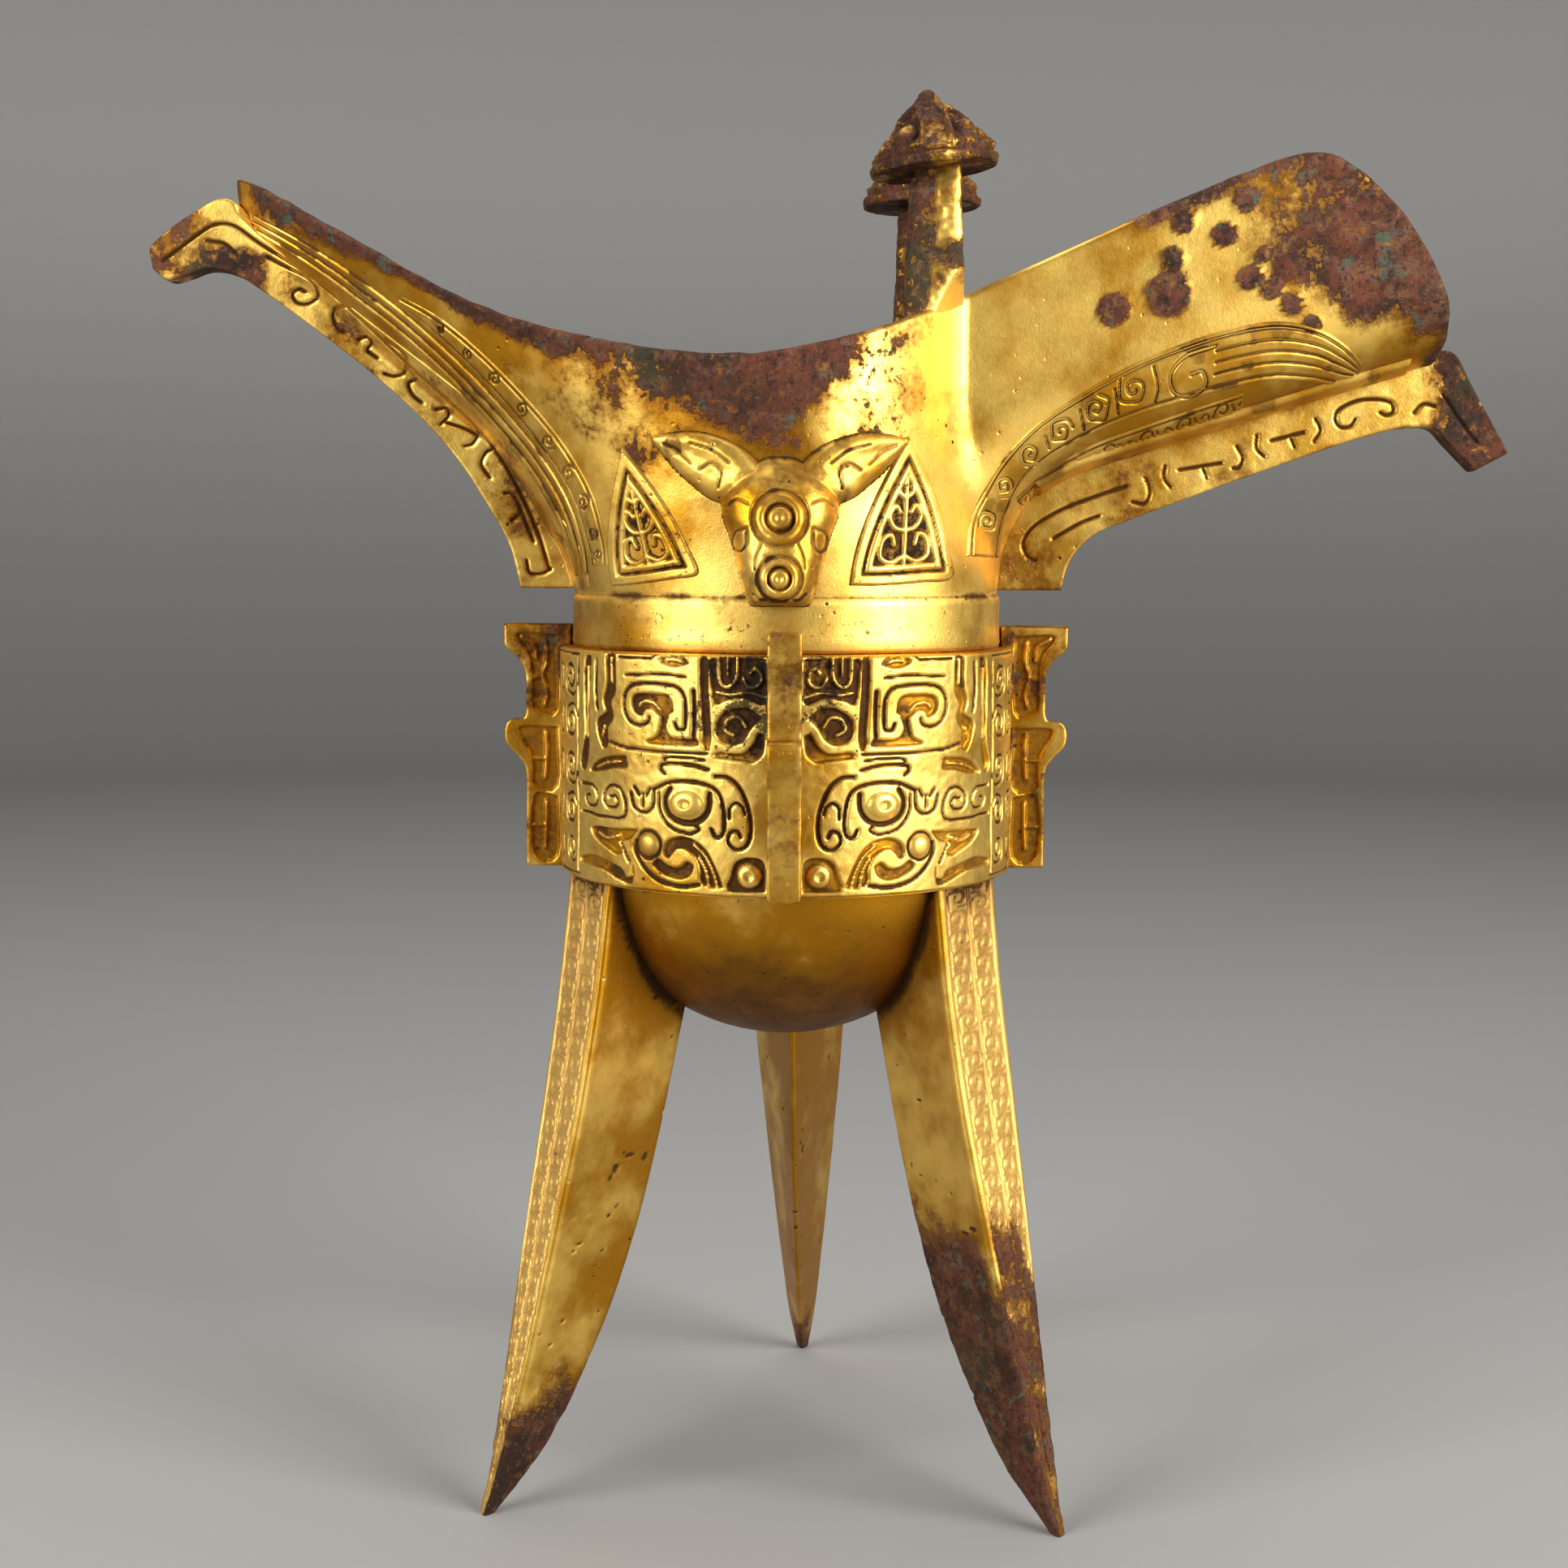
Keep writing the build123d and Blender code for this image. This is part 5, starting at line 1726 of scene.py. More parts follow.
@dataclass
class Head(Casting):
    """Animal head with spread ears, a brow rosette and a snout rosette.

    Widths and heights are (z, size), lines are (x, z), and rosettes are (centre, radius, height).
    """

    seed: ClassVar[int] = 31
    mouth: Mouth
    widths: Line = (
        (137.9, 4.3), (139.5, 5), (142, 5.7), (145, 6.4), (148, 7.3), (150.5, 8.2), (152.5, 8.3),
        (154.5, 7.2), (157, 4.2),
    )
    heights: Line = (
        (137.9, 4.6), (139, 6.3), (141.5, 7), (144.5, 6.6), (148, 6.1), (151, 5.6), (153.5, 4.7), (156, 3.2),
        (158, 1),
    )
    ear_line: Line = ((4.2, 154.3), (7.5, 156.2), (11, 158.2), (14.6, 159.8), (17.6, 160.9))
    ear_half: Line = ((0, 3.4), (0.3, 4.3), (0.6, 3.6), (0.85, 2.1), (1, 0.7))
    rosettes: tuple = (((0, 150.0), 3.5, 0.6), ((0, 141.7), 2.8, 0.55))
    face_lines: tuple = (
        (0.7, 0.35, ((4.6, 148.6), (6.2, 148), (6.6, 146.2), (5.4, 145.4), (4.6, 146.6), (4.6, 148.6))),
        (0.5, 0.3, ((2.4, 146.4), (3.2, 144.6), (3.4, 143))),
        (0.6, 0.3, ((1.2, 139), (2.6, 138.8), (3.6, 139.6))),
        (0.5, 0.3, ((4.3, 152), (6, 152.6), (7.4, 151.6))),
        (0.55, 0.35, ((8.6, 154.2), (8.2, 156.6), (9.6, 157.6), (11.2, 156.8))),
        (0.55, 0.35, ((7, 157.6), (9.4, 159.4), (12.6, 160.4))),
        (0.5, 0.3, ((12.4, 157.6), (14.2, 159.4), (16.4, 160.4))),
    )
    low_z: float = 136.6
    high_z: float = 164.4
    chin_z: float = 137.6
    half_x: float = 19.5
    lean: float = 0.8
    back_squeeze: float = 1.55
    back_drop: float = 9.0
    spacing: float = 0.19
    back_spacing: float = 0.26
    thick: float = 0.5

    def __post_init__(self) -> None:
        """Draws the ear's middle line."""
        super().__post_init__()
        self.ear = smooth_line(self.ear_line, 10)

    def ear_height(self, x: Array, z: Array) -> Array:
        """Height of both ears, rounded leaves with a soft crease.

        Args:
            x: Places across the head.
            z: Levels.

        Returns:
            The height over the wall at each place.
        """
        x = np.abs(x)
        marks = lengths(self.ear)
        gap = np.hypot(x[:, None] - self.ear[:, 0], z[:, None] - self.ear[:, 1])
        along = marks[gap.argmin(1)] / marks[-1]
        share = line_distance(x, z, self.ear) / monotone(self.ear_half, along)
        body = np.clip(1 - share**2.6, 0, None) ** 0.5
        crease = (1 - ease(share / 0.5)) * rise(along, 0.1, 0.3) * fall(along, 0.7, 0.3)
        return body * (2.7 - 1.2 * along) - 0.45 * crease

    def face_height(self, x: Array, z: Array) -> Array:
        """Height of the face without its ears.

        Args:
            x: Places across the head.
            z: Levels.

        Returns:
            The height over the wall at each place.
        """
        share = np.abs(x) / np.clip(monotone(self.widths, z), 0.5, None)
        middle = np.clip(monotone(self.heights, z), 0, None) * rise(z, self.chin_z, 1.1) ** 0.5
        return middle * np.clip(1 - share**3.2, 0, None) ** 0.5

    def relief(self, x: Array, z: Array) -> Relief:
        """Rosettes and lines of the face.

        Args:
            x: Places across the head.
            z: Levels.

        Returns:
            The heights at each place.
        """
        relief = Relief(x, z)
        for centre, r, tall in self.rosettes:
            reach = np.hypot(x - centre[0], z - centre[1]) / r
            relief.rise = relief.rise + tall * bell(reach, 0.8, 0.2, 4)
            relief.rise = relief.rise + tall * fall(reach, 0.36, 0.16) - 0.25 * fall(reach, 0.08, 0.12)
            relief.ring(centre, (r * 1.1, r * 1.1), 0.7, 0.35)
            relief.ring(centre, (r * 0.56, r * 0.56), 0.55, 0.4)
        for mirror in (-1, 1):
            for width, depth, line in self.face_lines:
                relief.groove(width, depth, [(a * mirror, b) for a, b in line])
        return relief

    def place_on(self, u: Array, v: Array, side: int) -> Placed:
        """Points of the head over the neck.

        Args:
            u: Shares across the sheet.
            v: Shares up the sheet.
            side: -1 in front, 1 behind, where the head sits lower and its ears are narrower.

        Returns:
            The points and their painted values.
        """
        squeeze, drop = (1.0, 0.0) if side < 0 else (self.back_squeeze, self.back_drop)
        x = (2 * u - 1) * self.half_x
        z = self.low_z + v * (self.high_z - self.low_z)
        face = self.face_height(x, z)
        ear = self.ear_height(squeeze * x, z)
        relief = self.relief(x, z)
        swell = np.maximum(face, ear)
        swell = np.maximum(swell, (face + ear) / 2 + np.hypot(face - ear, 0.8) / 2 - 0.4)
        solid = ease(swell / 0.5)
        place_x = x + self.lean * side
        base = self.mouth.half_y(place_x, np.clip(z - drop - self.mouth.neck_z, 0, None))
        points = np.stack([place_x, base, z - drop], 1)
        wear = 0.3 * self.lumps.waver(points, 4) + 0.1 * (self.lumps.at(points, 0.9) - 0.5)
        height = swell + (relief.rise - relief.cut + wear) * rise(swell, 0.5, 0.8) - 0.6 * (1 - solid)
        points[:, 1] = side * (base + height)
        foot = bell(swell, 0.4, 0.6)
        dirt = 0.75 * relief.dirt(0.4) + 0.75 * foot + 0.5 * self.lumps.patches(points, 4)
        brow = rise(swell, 1, 1) * rise(z, 142, 8) * fall(z, 152, 3)
        tone = 0.22 + 0.35 * foot + 0.35 * brow
        return points, {"grime": dirt, "shade": tone, "soot": 0.3 + 0.3 * foot}

    def build(self) -> None:
        """Makes the head on the neck and the one over the handle."""
        for name, node, side, spacing in (
            ("animal_head", "front_head", Side.MINUS.value, self.spacing),
            ("handle_mask", "handle_head", Side.PLUS.value, self.back_spacing),
        ):
            size = (int(2 * self.half_x / spacing), int((self.high_z - self.low_z) / spacing))
            self.sheet(name, size, lambda u, v: self.place_on(u, v, side), side, self.thick, node)


@dataclass
class Fin(Casting):
    """Upright plate with a shaped edge, rounded corners and lines cut in both faces.

    Its pairs are points (reach, z) of the free edge and of the inner edge side by side, in the plane at its
    azimuth. The wall gives the half width of the shell that the faces run out on.
    """

    name: str
    pairs: Edges
    thickness: float
    azimuth: float
    wall: Callable | None = None
    # painted shade over the whole fin
    tone: float = 0.42
    stain_size: float = 5.0
    notch: float = 3.2
    spacing: float = 0.245
    edge: float = 0.5
    bend: int = 12
    roundness: float = 0.4
    line_size: Spot = (0.8, 0.45)
    cell_depth: float = 0.5
    ridge_size: Spot = (0.85, 0.45)

    def __post_init__(self) -> None:
        """Rounds the edges' lines."""
        self.line = smooth_line(self.pairs, 12)
        self.lumps = Lumps(len(self.name))

    def ring(self) -> Array:
        """Share across the fin, face and turn round the edge of each point round a section.

        Returns:
            A row for each point, the first one again at the end.
        """
        width = np.linalg.norm(self.line[:, :2] - self.line[:, 2:], axis=1).max()
        flat = int(width / self.spacing)
        turns = [math.pi * k / self.bend for k in range(1, self.bend)]
        spots = [(k / flat, -1.0, 0.0) for k in range(flat + 1)]
        spots += [(1.0, -1.0, turn) for turn in turns]
        spots += [(1 - k / flat, 1.0, 0.0) for k in range(flat + 1)]
        spots += [(0.0, 1.0, turn) for turn in turns]
        return np.array([*spots, spots[0]])

    def relief(self, flat: Array, lines: tuple, cells: tuple, ridges: tuple) -> Relief:
        """Ornament at points of the fin's plane.

        Args:
            flat: The points, as reach and z.
            lines: Lines that are cut.
            cells: Outlines of sunk grounds.
            ridges: Ridges in the sunk grounds.

        Returns:
            The heights at each point.
        """
        relief = Relief(flat[:, 0], flat[:, 1])
        for points in lines:
            relief.groove(*self.line_size, points)
        for points in cells:
            relief.pocket(self.cell_depth, points)
        for points in ridges:
            relief.ridge(*self.ridge_size, points)
        relief.rise = np.minimum(relief.rise, relief.sunk)
        return relief

    def spread(self, flat: Array, inward: Array) -> tuple[Array, Array]:
        """Half width of the shell beside the fin, and half thickness of the fin over it.

        Args:
            flat: Points of the fin's plane, as reach and z.
            inward: Their distance from the inner edge.

        Returns:
            Both values at each point.
        """
        half = self.thickness / 2
        if self.wall is None:
            return np.zeros(len(flat)), np.full(len(flat), half)
        shell = self.wall(flat[:, 0], flat[:, 1])
        over = (half + shell + np.hypot(half - shell, 1.0)) / 2 + 0.15
        return shell, over - 1.2 * fall(inward, 0, 0.9) * ease(shell)

    def build(self, node: str, paint: Callable, lines: tuple, cells: tuple = (), ridges: tuple = ()) -> None:
        """Makes the fin.

        Args:
            node: CAD node that it stands for.
            paint: Gives grime and patina at points of the fin.
            lines: Lines that are cut in its faces.
            cells: Outlines of sunk grounds.
            ridges: Ridges in the sunk grounds.
        """
        marks = lengths(self.line[:, :2])
        ring = self.ring()
        columns = len(ring) - 1

        def place(u: Array, v: Array) -> Placed:
            """Points of both faces and of the rounded edges.

            Args:
                u: Share of the way round a section.
                v: Share along the fin.

            Returns:
                Points and painted values.
            """
            share, hand, bend = ring[np.rint(u * columns).astype(int)].T
            along = v * marks[-1]
            pair = along_line(along, marks, self.line)
            reach = pair[:, :2] - pair[:, 2:]
            size = np.maximum(np.linalg.norm(reach, axis=1), TINY)
            ends = np.clip(np.minimum(along, marks[-1] - along) / self.edge, 0, 1)
            pinch = self.edge * (1 - np.sqrt(1 - (1 - ends) ** 2))
            free = share > 0.5
            bulge = np.where(free, 1.0, -1.0) * np.abs(np.sin(bend)) ** self.roundness
            outward = (self.edge * (1 + bulge) + share * (size - 2 * self.edge)) / size
            flat = pair[:, 2:] + reach * outward[:, None]
            swing = np.cos(bend)
            turned = np.where(free, -1.0, 1.0) * np.sign(swing) * np.abs(swing) ** self.roundness
            side = np.where(bend == 0, hand, turned)
            where = np.stack([flat[:, 0], side * 3, flat[:, 1]], 1)
            grime, patina = paint(flat[:, 0], flat[:, 1], self.lumps.waver(where, self.stain_size))
            swell = 0.22 * self.lumps.waver(where, 6) + 0.5 * patina * self.lumps.waver(where, 1.8)
            relief = self.relief(flat, lines, cells, ridges)
            face = ((bend == 0) & (ends > 0.9)).astype(float)
            shell, thick = self.spread(flat, share * size)
            out = side * (thick - pinch + relief.height() * face + swell)
            hollow = self.notch * (1 - side**2) * ease(shell / 3) * ~free
            flat = flat + reach / size[:, None] * hollow[:, None]
            points = about_axis(np.stack([flat[:, 0], out], 1), flat[:, 1], math.radians(self.azimuth))
            cuts = relief.dirt()
            grounds = relief.amber()
            return points, {
                "grime": np.maximum(grime, (0.85 * cuts + 0.45 * grounds) * face),
                "patina": patina,
                # shade: amber grounds and cut lines on the faces, over the fin's painted shade
                "shade": np.clip(grounds + 0.6 * cuts, 0, 1) * face + self.tone,
            }

        self.cast(self.name, (columns, int(marks[-1] / self.spacing)), place, node)


@dataclass
class Fins(Casting):
    """The two keels and the three flanges.

    Keels and their lines are (x, z). The flange's edge, cells and ridges are (reach over the band, z), and
    each flange has its node, its azimuth and how far its reach is squeezed.
    """

    mouth: Mouth
    spout: Edges = (
        (42.4, 139.7, 31.4, 139.7), (43.8, 144.4, 31.8, 144.2), (47.2, 148.2, 34, 149.6),
        (52.1, 150.3, 38.5, 155.6), (60.8, 153.6, 53, 161.8), (69.5, 156.8, 65, 165.6),
        (83.3, 161.7, 80.6, 170.4), (90.4, 163.9, 88.6, 173), (94.6, 164.7, 96.2, 175.4),
        (98.6, 164.6, 101.2, 176.2), (101.2, 162.2, 104.4, 171.2), (105.2, 158.2, 110.4, 161),
    )
    tail: Edges = (
        (-41, 139.7, -27.9, 139.7), (-42.7, 146.3, -29.3, 145.5), (-45.9, 152.2, -33.4, 152),
        (-50.4, 159.1, -38.2, 159.6), (-56.9, 166.4, -45.4, 167), (-66.4, 174.6, -56.2, 175.5),
        (-79.2, 184, -71.6, 187.2), (-84, 186.9, -78.2, 192.6), (-88.2, 187.7, -84.8, 198.2),
        (-91.6, 186.6, -90.4, 196), (-94.4, 186, -95, 192.8), (-96.6, 187.8, -97, 190.8),
    )
    spout_grooves: tuple[Line, ...] = (
        ((38.3, 144.2), (37, 145), (36.4, 147), (38, 149.5), (42, 152), (47, 154), (52, 155.7)),
        ((41, 147.7), (45, 150), (48, 151.2)),
        ((53, 153.3), (54.8, 153), (55.6, 154.3), (55.4, 156), (54.9, 157)),
        ((57.9, 158.8), (57.8, 157), (58.8, 155.5)), ((60, 158.2), (66.5, 159.3)),
        ((63.7, 158.5), (64.3, 157)), ((68.8, 161.8), (69.7, 160), (69.2, 158.6), (68.3, 158.5)),
        ((71.8, 163.5), (71.8, 161.5), (73, 160.3)), ((74, 162.7), (79, 164)), ((77, 163), (77.6, 161.8)),
        ((80.7, 166), (81.5, 164.3), (80.6, 162.6)),
        ((86.8, 166), (86, 164.9), (84.5, 164.8), (83.7, 166), (84.3, 167.5), (87, 168.8), (90, 169),
         (92, 168.5), (92.5, 167.2), (91.5, 166.6), (90.5, 167)),
        ((100, 169.8), (103, 165.5), (105.5, 162.5)), ((95.7, 167), (97, 168.3), (99, 168)),
    )
    tail_grooves: tuple[Line, ...] = (
        ((-95, 188.8), (-90, 192.5), (-87, 194.3), (-84, 194.2), (-80, 191.5), (-72, 186.4), (-65, 180.6),
         (-57, 173), (-50, 166.8), (-46, 162.6), (-42, 156.5), (-38.5, 149), (-36.5, 142.5)),
        ((-88.3, 192), (-85.5, 191.5), (-83.5, 189.8)),
        ((-79, 189.6), (-76, 188), (-73, 186.5), (-71.5, 185.2), (-71.3, 183.7), (-73, 182.6),
         (-74.7, 182.8), (-75.3, 184), (-74.3, 184.8), (-73.3, 184.4)),
        ((-66.5, 182), (-68.5, 181.8), (-69.2, 180.7), (-68.5, 179), (-67.5, 178.4)),
        ((-65.3, 177.3), (-64, 177.6), (-63.2, 176.8), (-64, 175.7), (-62.5, 174.5)),
        ((-60.5, 177), (-57.5, 174.5), (-58.3, 172.4), (-60, 171.8), (-61.5, 172.2)),
        ((-56.4, 171.3), (-57.8, 170.7), (-57.2, 169), (-55.8, 167.8)),
        ((-53.7, 166.8), (-52, 167), (-51.8, 165.8), (-53, 164.6)),
        ((-52, 164.8), (-49.5, 164), (-47.5, 163)),
        ((-49.5, 166.5), (-47.2, 163.8), (-48, 161.8), (-49.3, 161.3)),
        ((-44.5, 161), (-46, 160.4), (-46.8, 158.5), (-45.5, 156.5)),
        ((-43.2, 154.2), (-42, 154), (-40.8, 151.5), (-42.2, 150)), ((-40.7, 151.5), (-38.9, 146.8)),
        ((-40, 144), (-39.5, 142), (-37.5, 142), (-36.3, 142.7)),
    )
    flange: Line = (
        (6.2, 96.5), (6.2, 104), (6.2, 111.2), (6.9, 113.6), (8.7, 115.7), (8.9, 117.9), (8.2, 119.2),
        (6.4, 119.7), (6.1, 123), (6.2, 126.6), (6.8, 128.8), (8.7, 130.6), (8.9, 132.2), (8.9, 134.2),
    )
    flange_cells: tuple[Line, ...] = (
        ((1.2, 132.6), (4.5, 132.8), (6.9, 132.9), (7.4, 132), (5.6, 129.6), (5, 126), (5, 121.6),
         (4.4, 120.9), (1.2, 120.9)),
        ((1.2, 118.3), (6.4, 118.4), (7.3, 117.4), (5.6, 114.8), (5, 112), (4.9, 109), (1.2, 109)),
        ((1.2, 107.5), (4.9, 107.5), (4.9, 98.2), (1.2, 98.2)),
    )
    flange_ridges: tuple[Line, ...] = (
        ((3, 131.6), (2.8, 128.6), (3.4, 126.2), (2.8, 123.4), (3.2, 121.6)), ((3.4, 126.2), (5.2, 125.8)),
        ((6.6, 132.2), (4.8, 131), (4.4, 128.8)), ((3, 117.4), (2.9, 114), (3.2, 110.4)),
        ((3, 113.4), (5.2, 113.4)), ((3, 106.6), (3, 103.2), (3.2, 99.4)), ((3, 103), (5, 103)),
    )
    flanges: tuple = (("right_flange", 0, 1.0), ("left_flange", 180, 1.0), ("front_flange", 270, 0.74))
    band_r: float = 34.2
    sunk: float = 1.0
    step_reach: float = 6.5
    step_stretch: float = 1.06
    keel_thickness: float = 4.6
    flange_thickness: float = 4.8
    flange_stain: float = 4.0
    # lighter painted shade for the tail keel
    tail_keel_shade: float = 0.15

    def paint_spout(self, x: Array, z: Array, waver: Array) -> tuple[Array, Array]:
        """Corroded hook of the spout keel and painted shade low on it, as grime and patina at points with
        their noise.
        """
        # stain: painted shade as a brown film, heavier low on the keel
        stain = 0.3 + 0.5 * waver - 0.2 * rise(z - 0.3 * (x - 60), 150, 9)
        return 0.35 * rise(waver, 0.02, 0.1), np.maximum(stain, rise(x - 8 * waver, 95, 7))

    def paint_tail(self, x: Array, z: Array, waver: Array) -> tuple[Array, Array]:
        """Corroded patch under the hook of the tail keel.

        Args:
            x: Reach of the points.
            z: Their heights.
            waver: Noise on both sides of zero.

        Returns:
            Grime and patina.
        """
        patch = bell(x, -85.5, 6.5, 4) * bell(z + 0.12 * (x + 85), 187.5, 3.8, 4)
        tip = 0.48 * rise(14 * waver - x, 80, 14)
        patina = np.maximum.reduce([patch + waver * patch, tip, 0.14 + 0.3 * waver])
        return 0.35 * rise(waver, 0.02, 0.1), patina

    def paint_flange(self, x: Array, z: Array, waver: Array) -> tuple[Array, Array]:
        """Grime where a flange meets the band and a film of painted shade, thicker higher up: grime and
        patina at points with their noise.
        """
        # stain: painted shade as a brown film over the flange, thicker above z 120
        stain = 0.12 + 0.25 * waver + 0.16 * rise(z, 120, 3)
        return 0.6 * bell(x, self.band_r, 0.8) + 0.5 * rise(waver, 0.04, 0.1), stain

    def tail_wall(self, x: Array, z: Array) -> Array:
        """Half width of the mouth over the tail keel."""
        return self.mouth.half_y(np.minimum(x, 0), z - self.mouth.neck_z)

    def flange_fin(self, node: str, azimuth: float, squeeze: float) -> None:
        """Makes one flange.

        Args:
            node: CAD node that it stands for.
            azimuth: Where it stands round the band.
            squeeze: Factor on its reach.
        """

        def moved(line: Line) -> Line:
            """A line of the flange, put on the band."""
            return tuple((self.band_r + reach * squeeze, z) for reach, z in line)

        pairs = []
        for reach, z in self.flange:
            factor = squeeze if reach < self.step_reach else squeeze * self.step_stretch
            pairs.append((self.band_r + reach * factor, z, self.band_r - self.sunk, z))
        cells = tuple(moved(line) for line in self.flange_cells)
        ridges = tuple(moved(line) for line in self.flange_ridges)
        sizes = (self.flange_thickness, azimuth)
        fin = Fin(self.finish, f"{node}_cast", tuple(pairs), *sizes, stain_size=self.flange_stain)
        fin.build(node, self.paint_flange, (), cells, ridges)

    def build(self) -> None:
        """Makes all five fins."""
        spout = Fin(self.finish, "keel_under_spout", self.spout, self.keel_thickness, 0)
        spout.build("spout_keel", self.paint_spout, self.spout_grooves)
        walled = (self.tail_wall, self.tail_keel_shade)
        tail = Fin(self.finish, "keel_under_tail", self.tail, self.keel_thickness, 0, *walled)
        tail.build("tail_keel", self.paint_tail, self.tail_grooves)
        for flange in self.flanges:
            self.flange_fin(*flange)


@dataclass(frozen=True)
class Leg:
    """What a leg has of its own: its place, the level and strength of its crust, and its painted shade."""

    node: str
    azimuth: float
    crust_z: float
    face_crust: float
    corner_drop: float
    # painted shade on the inner faces, and on the whole leg
    inner_face_shade: float
    tone: float


@dataclass
class Legs(Casting):
    """Three blade legs with scrolls on their outer faces.

    Sections are (share of the height, reach over the bowl, width of the outer face, depth to the ridge).
    """

    seed: ClassVar[int] = 47
    legs: tuple[Leg, ...] = (
        Leg("left_leg", 206, 17.0, 0.3, 2.0, 0.55, 0.0),
        Leg("right_leg", 326, 45.0, 0.56, 9.0, 0.3, 0.0),
        Leg("rear_leg", 86, 3.0, 0.3, 2.0, 0.3, 0.5),
    )
    bowl_r: float = 31.8
    height: float = 96.5
    ball_r: float = 32.45
    ball_z: float = 102.95
    sunk: float = 1.0
    sections: Edges = (
        (0, 18.8, 2.4, 2.6), (0.083, 16.6, 5.4, 8), (0.197, 14.3, 7.9, 12.3), (0.369, 11, 11.4, 16.3),
        (0.525, 8.1, 14.2, 17.9), (0.676, 5.4, 16.4, 18.6), (0.846, 2.8, 17.2, 19.4), (1, 1.1, 17.4, 20),
    )
    side_crust: float = 0.92
    face_columns: int = 72
    side_columns: int = 30
    corner_columns: int = 5
    rows: int = 310
    corner_r: float = 0.8
    pitch: float = 3.0
    borders: tuple = (-0.74, -0.04, 0.04, 0.74)
    line_depth: float = 0.3
    curl: Line = (
        (-1.2, -1.3), (-1.25, 0.6), (-0.5, 1.15), (0.7, 1), (1.05, 0.1), (0.5, -0.5), (-0.3, -0.3),
        (-0.2, 0.4),
    )
    bar: Line = ((0.0, -1.2), (1.2, -1.0))

    def ring(self) -> Array:
        """Corner, share and kind of each point round a section.

        Returns:
            A row for each point, the first one again at the end.
        """
        spots = []
        for corner, count in enumerate((self.face_columns, self.side_columns, self.side_columns)):
            spots += [(corner, k / count, 0.0) for k in range(count + 1)]
            spots += [(corner, 1.0, k / self.corner_columns) for k in range(1, self.corner_columns)]
        return np.array([*spots, spots[0]])

    def section_points(self, spot: Array, reach: Array, width: Array, depth: Array) -> Array:
        """Points round a three-sided section with round corners, outer face first.

        Args:
            spot: Corner number, share along the side and share round the corner.
            reach: Radius of the outer face.
            width: Width of the outer face.
            depth: Depth to the inner ridge.

        Returns:
            Radius and sideways place of each point.
        """
        half = width / 2
        inner = np.stack([reach - depth, np.zeros(len(reach))], 1)
        corners = np.stack([np.stack([reach, -half], 1), np.stack([reach, half], 1), inner])
        index = spot[:, 0].astype(int)
        rows = np.arange(len(spot))
        a = corners[index, rows]
        b = corners[(index + 1) % 3, rows]
        c = corners[(index + 2) % 3, rows]
        ab = (b - a) / np.linalg.norm(b - a, axis=1, keepdims=True)
        bc = (c - b) / np.linalg.norm(c - b, axis=1, keepdims=True)
        trim = np.minimum(self.corner_r * 1.6, 0.28 * np.minimum(width, depth))[:, None]
        start = a + ab * trim
        end = b - ab * trim
        t = spot[:, 2:3]
        tip = b - 0.12 * (ab - bc) * trim
        bend = (1 - t) ** 2 * end + 2 * t * (1 - t) * tip + t * t * (b + bc * trim)
        return np.where(t > 0, bend, start + (end - start) * spot[:, 1:2])

    def scrolls(self, across: Array, z: Array, width: Array) -> Array:
        """Two columns of small scrolls between plain borders.

        Args:
            across: Sideways places on the outer face.
            z: Heights.
            width: Width of the face at each point.

        Returns:
            How deep the face is cut.
        """
        half = width / 2
        relief = Relief(across, z)
        for share in self.borders:
            relief.stripe(np.abs(across - share * half), 0.6, 0.34)
        column = np.where(across > 0, 1.0, -1.0)
        scale = np.clip(half * 0.35 / 1.45, 0.35, 2.0)
        turn = (z + 0.5 * self.pitch * (column > 0)) / self.pitch
        flip = np.where(np.floor(turn) % 2 > 0.5, 1.0, -1.0)
        local_u = (np.abs(across) - half * 0.39) * column * flip / scale
        local_v = (turn - np.floor(turn) - 0.5) * 2.9
        curl = Relief(local_u, local_v)
        curl.groove(0.6, 0.24, self.curl)
        curl.groove(0.5, 0.24, self.bar)
        return np.maximum(relief.cut, curl.cut * rise(half, 2.6, 1.5)) * rise(half, 1.8, 1.2)

    def clear_bowl(self, flat: Array, z: Array) -> Array:
        """Moves points that lie deep in the bowl's wall out to just under its surface.

        Args:
            flat: Radius and sideways place of the points.
            z: Their heights.

        Returns:
            The moved points.
        """
        level = np.clip((self.ball_r - self.sunk) ** 2 - (z - self.ball_z) ** 2, 0, None) ** 0.5
        away = np.linalg.norm(flat, axis=1)
        push = np.where(away < level, level / np.maximum(away, TINY), 1.0)
        return flat * push[:, None]

    def cast_leg(self, leg: Leg) -> None:
        """Makes one leg.

        Args:
            leg: What it has of its own.
        """
        ring = self.ring()
        columns = len(ring) - 1

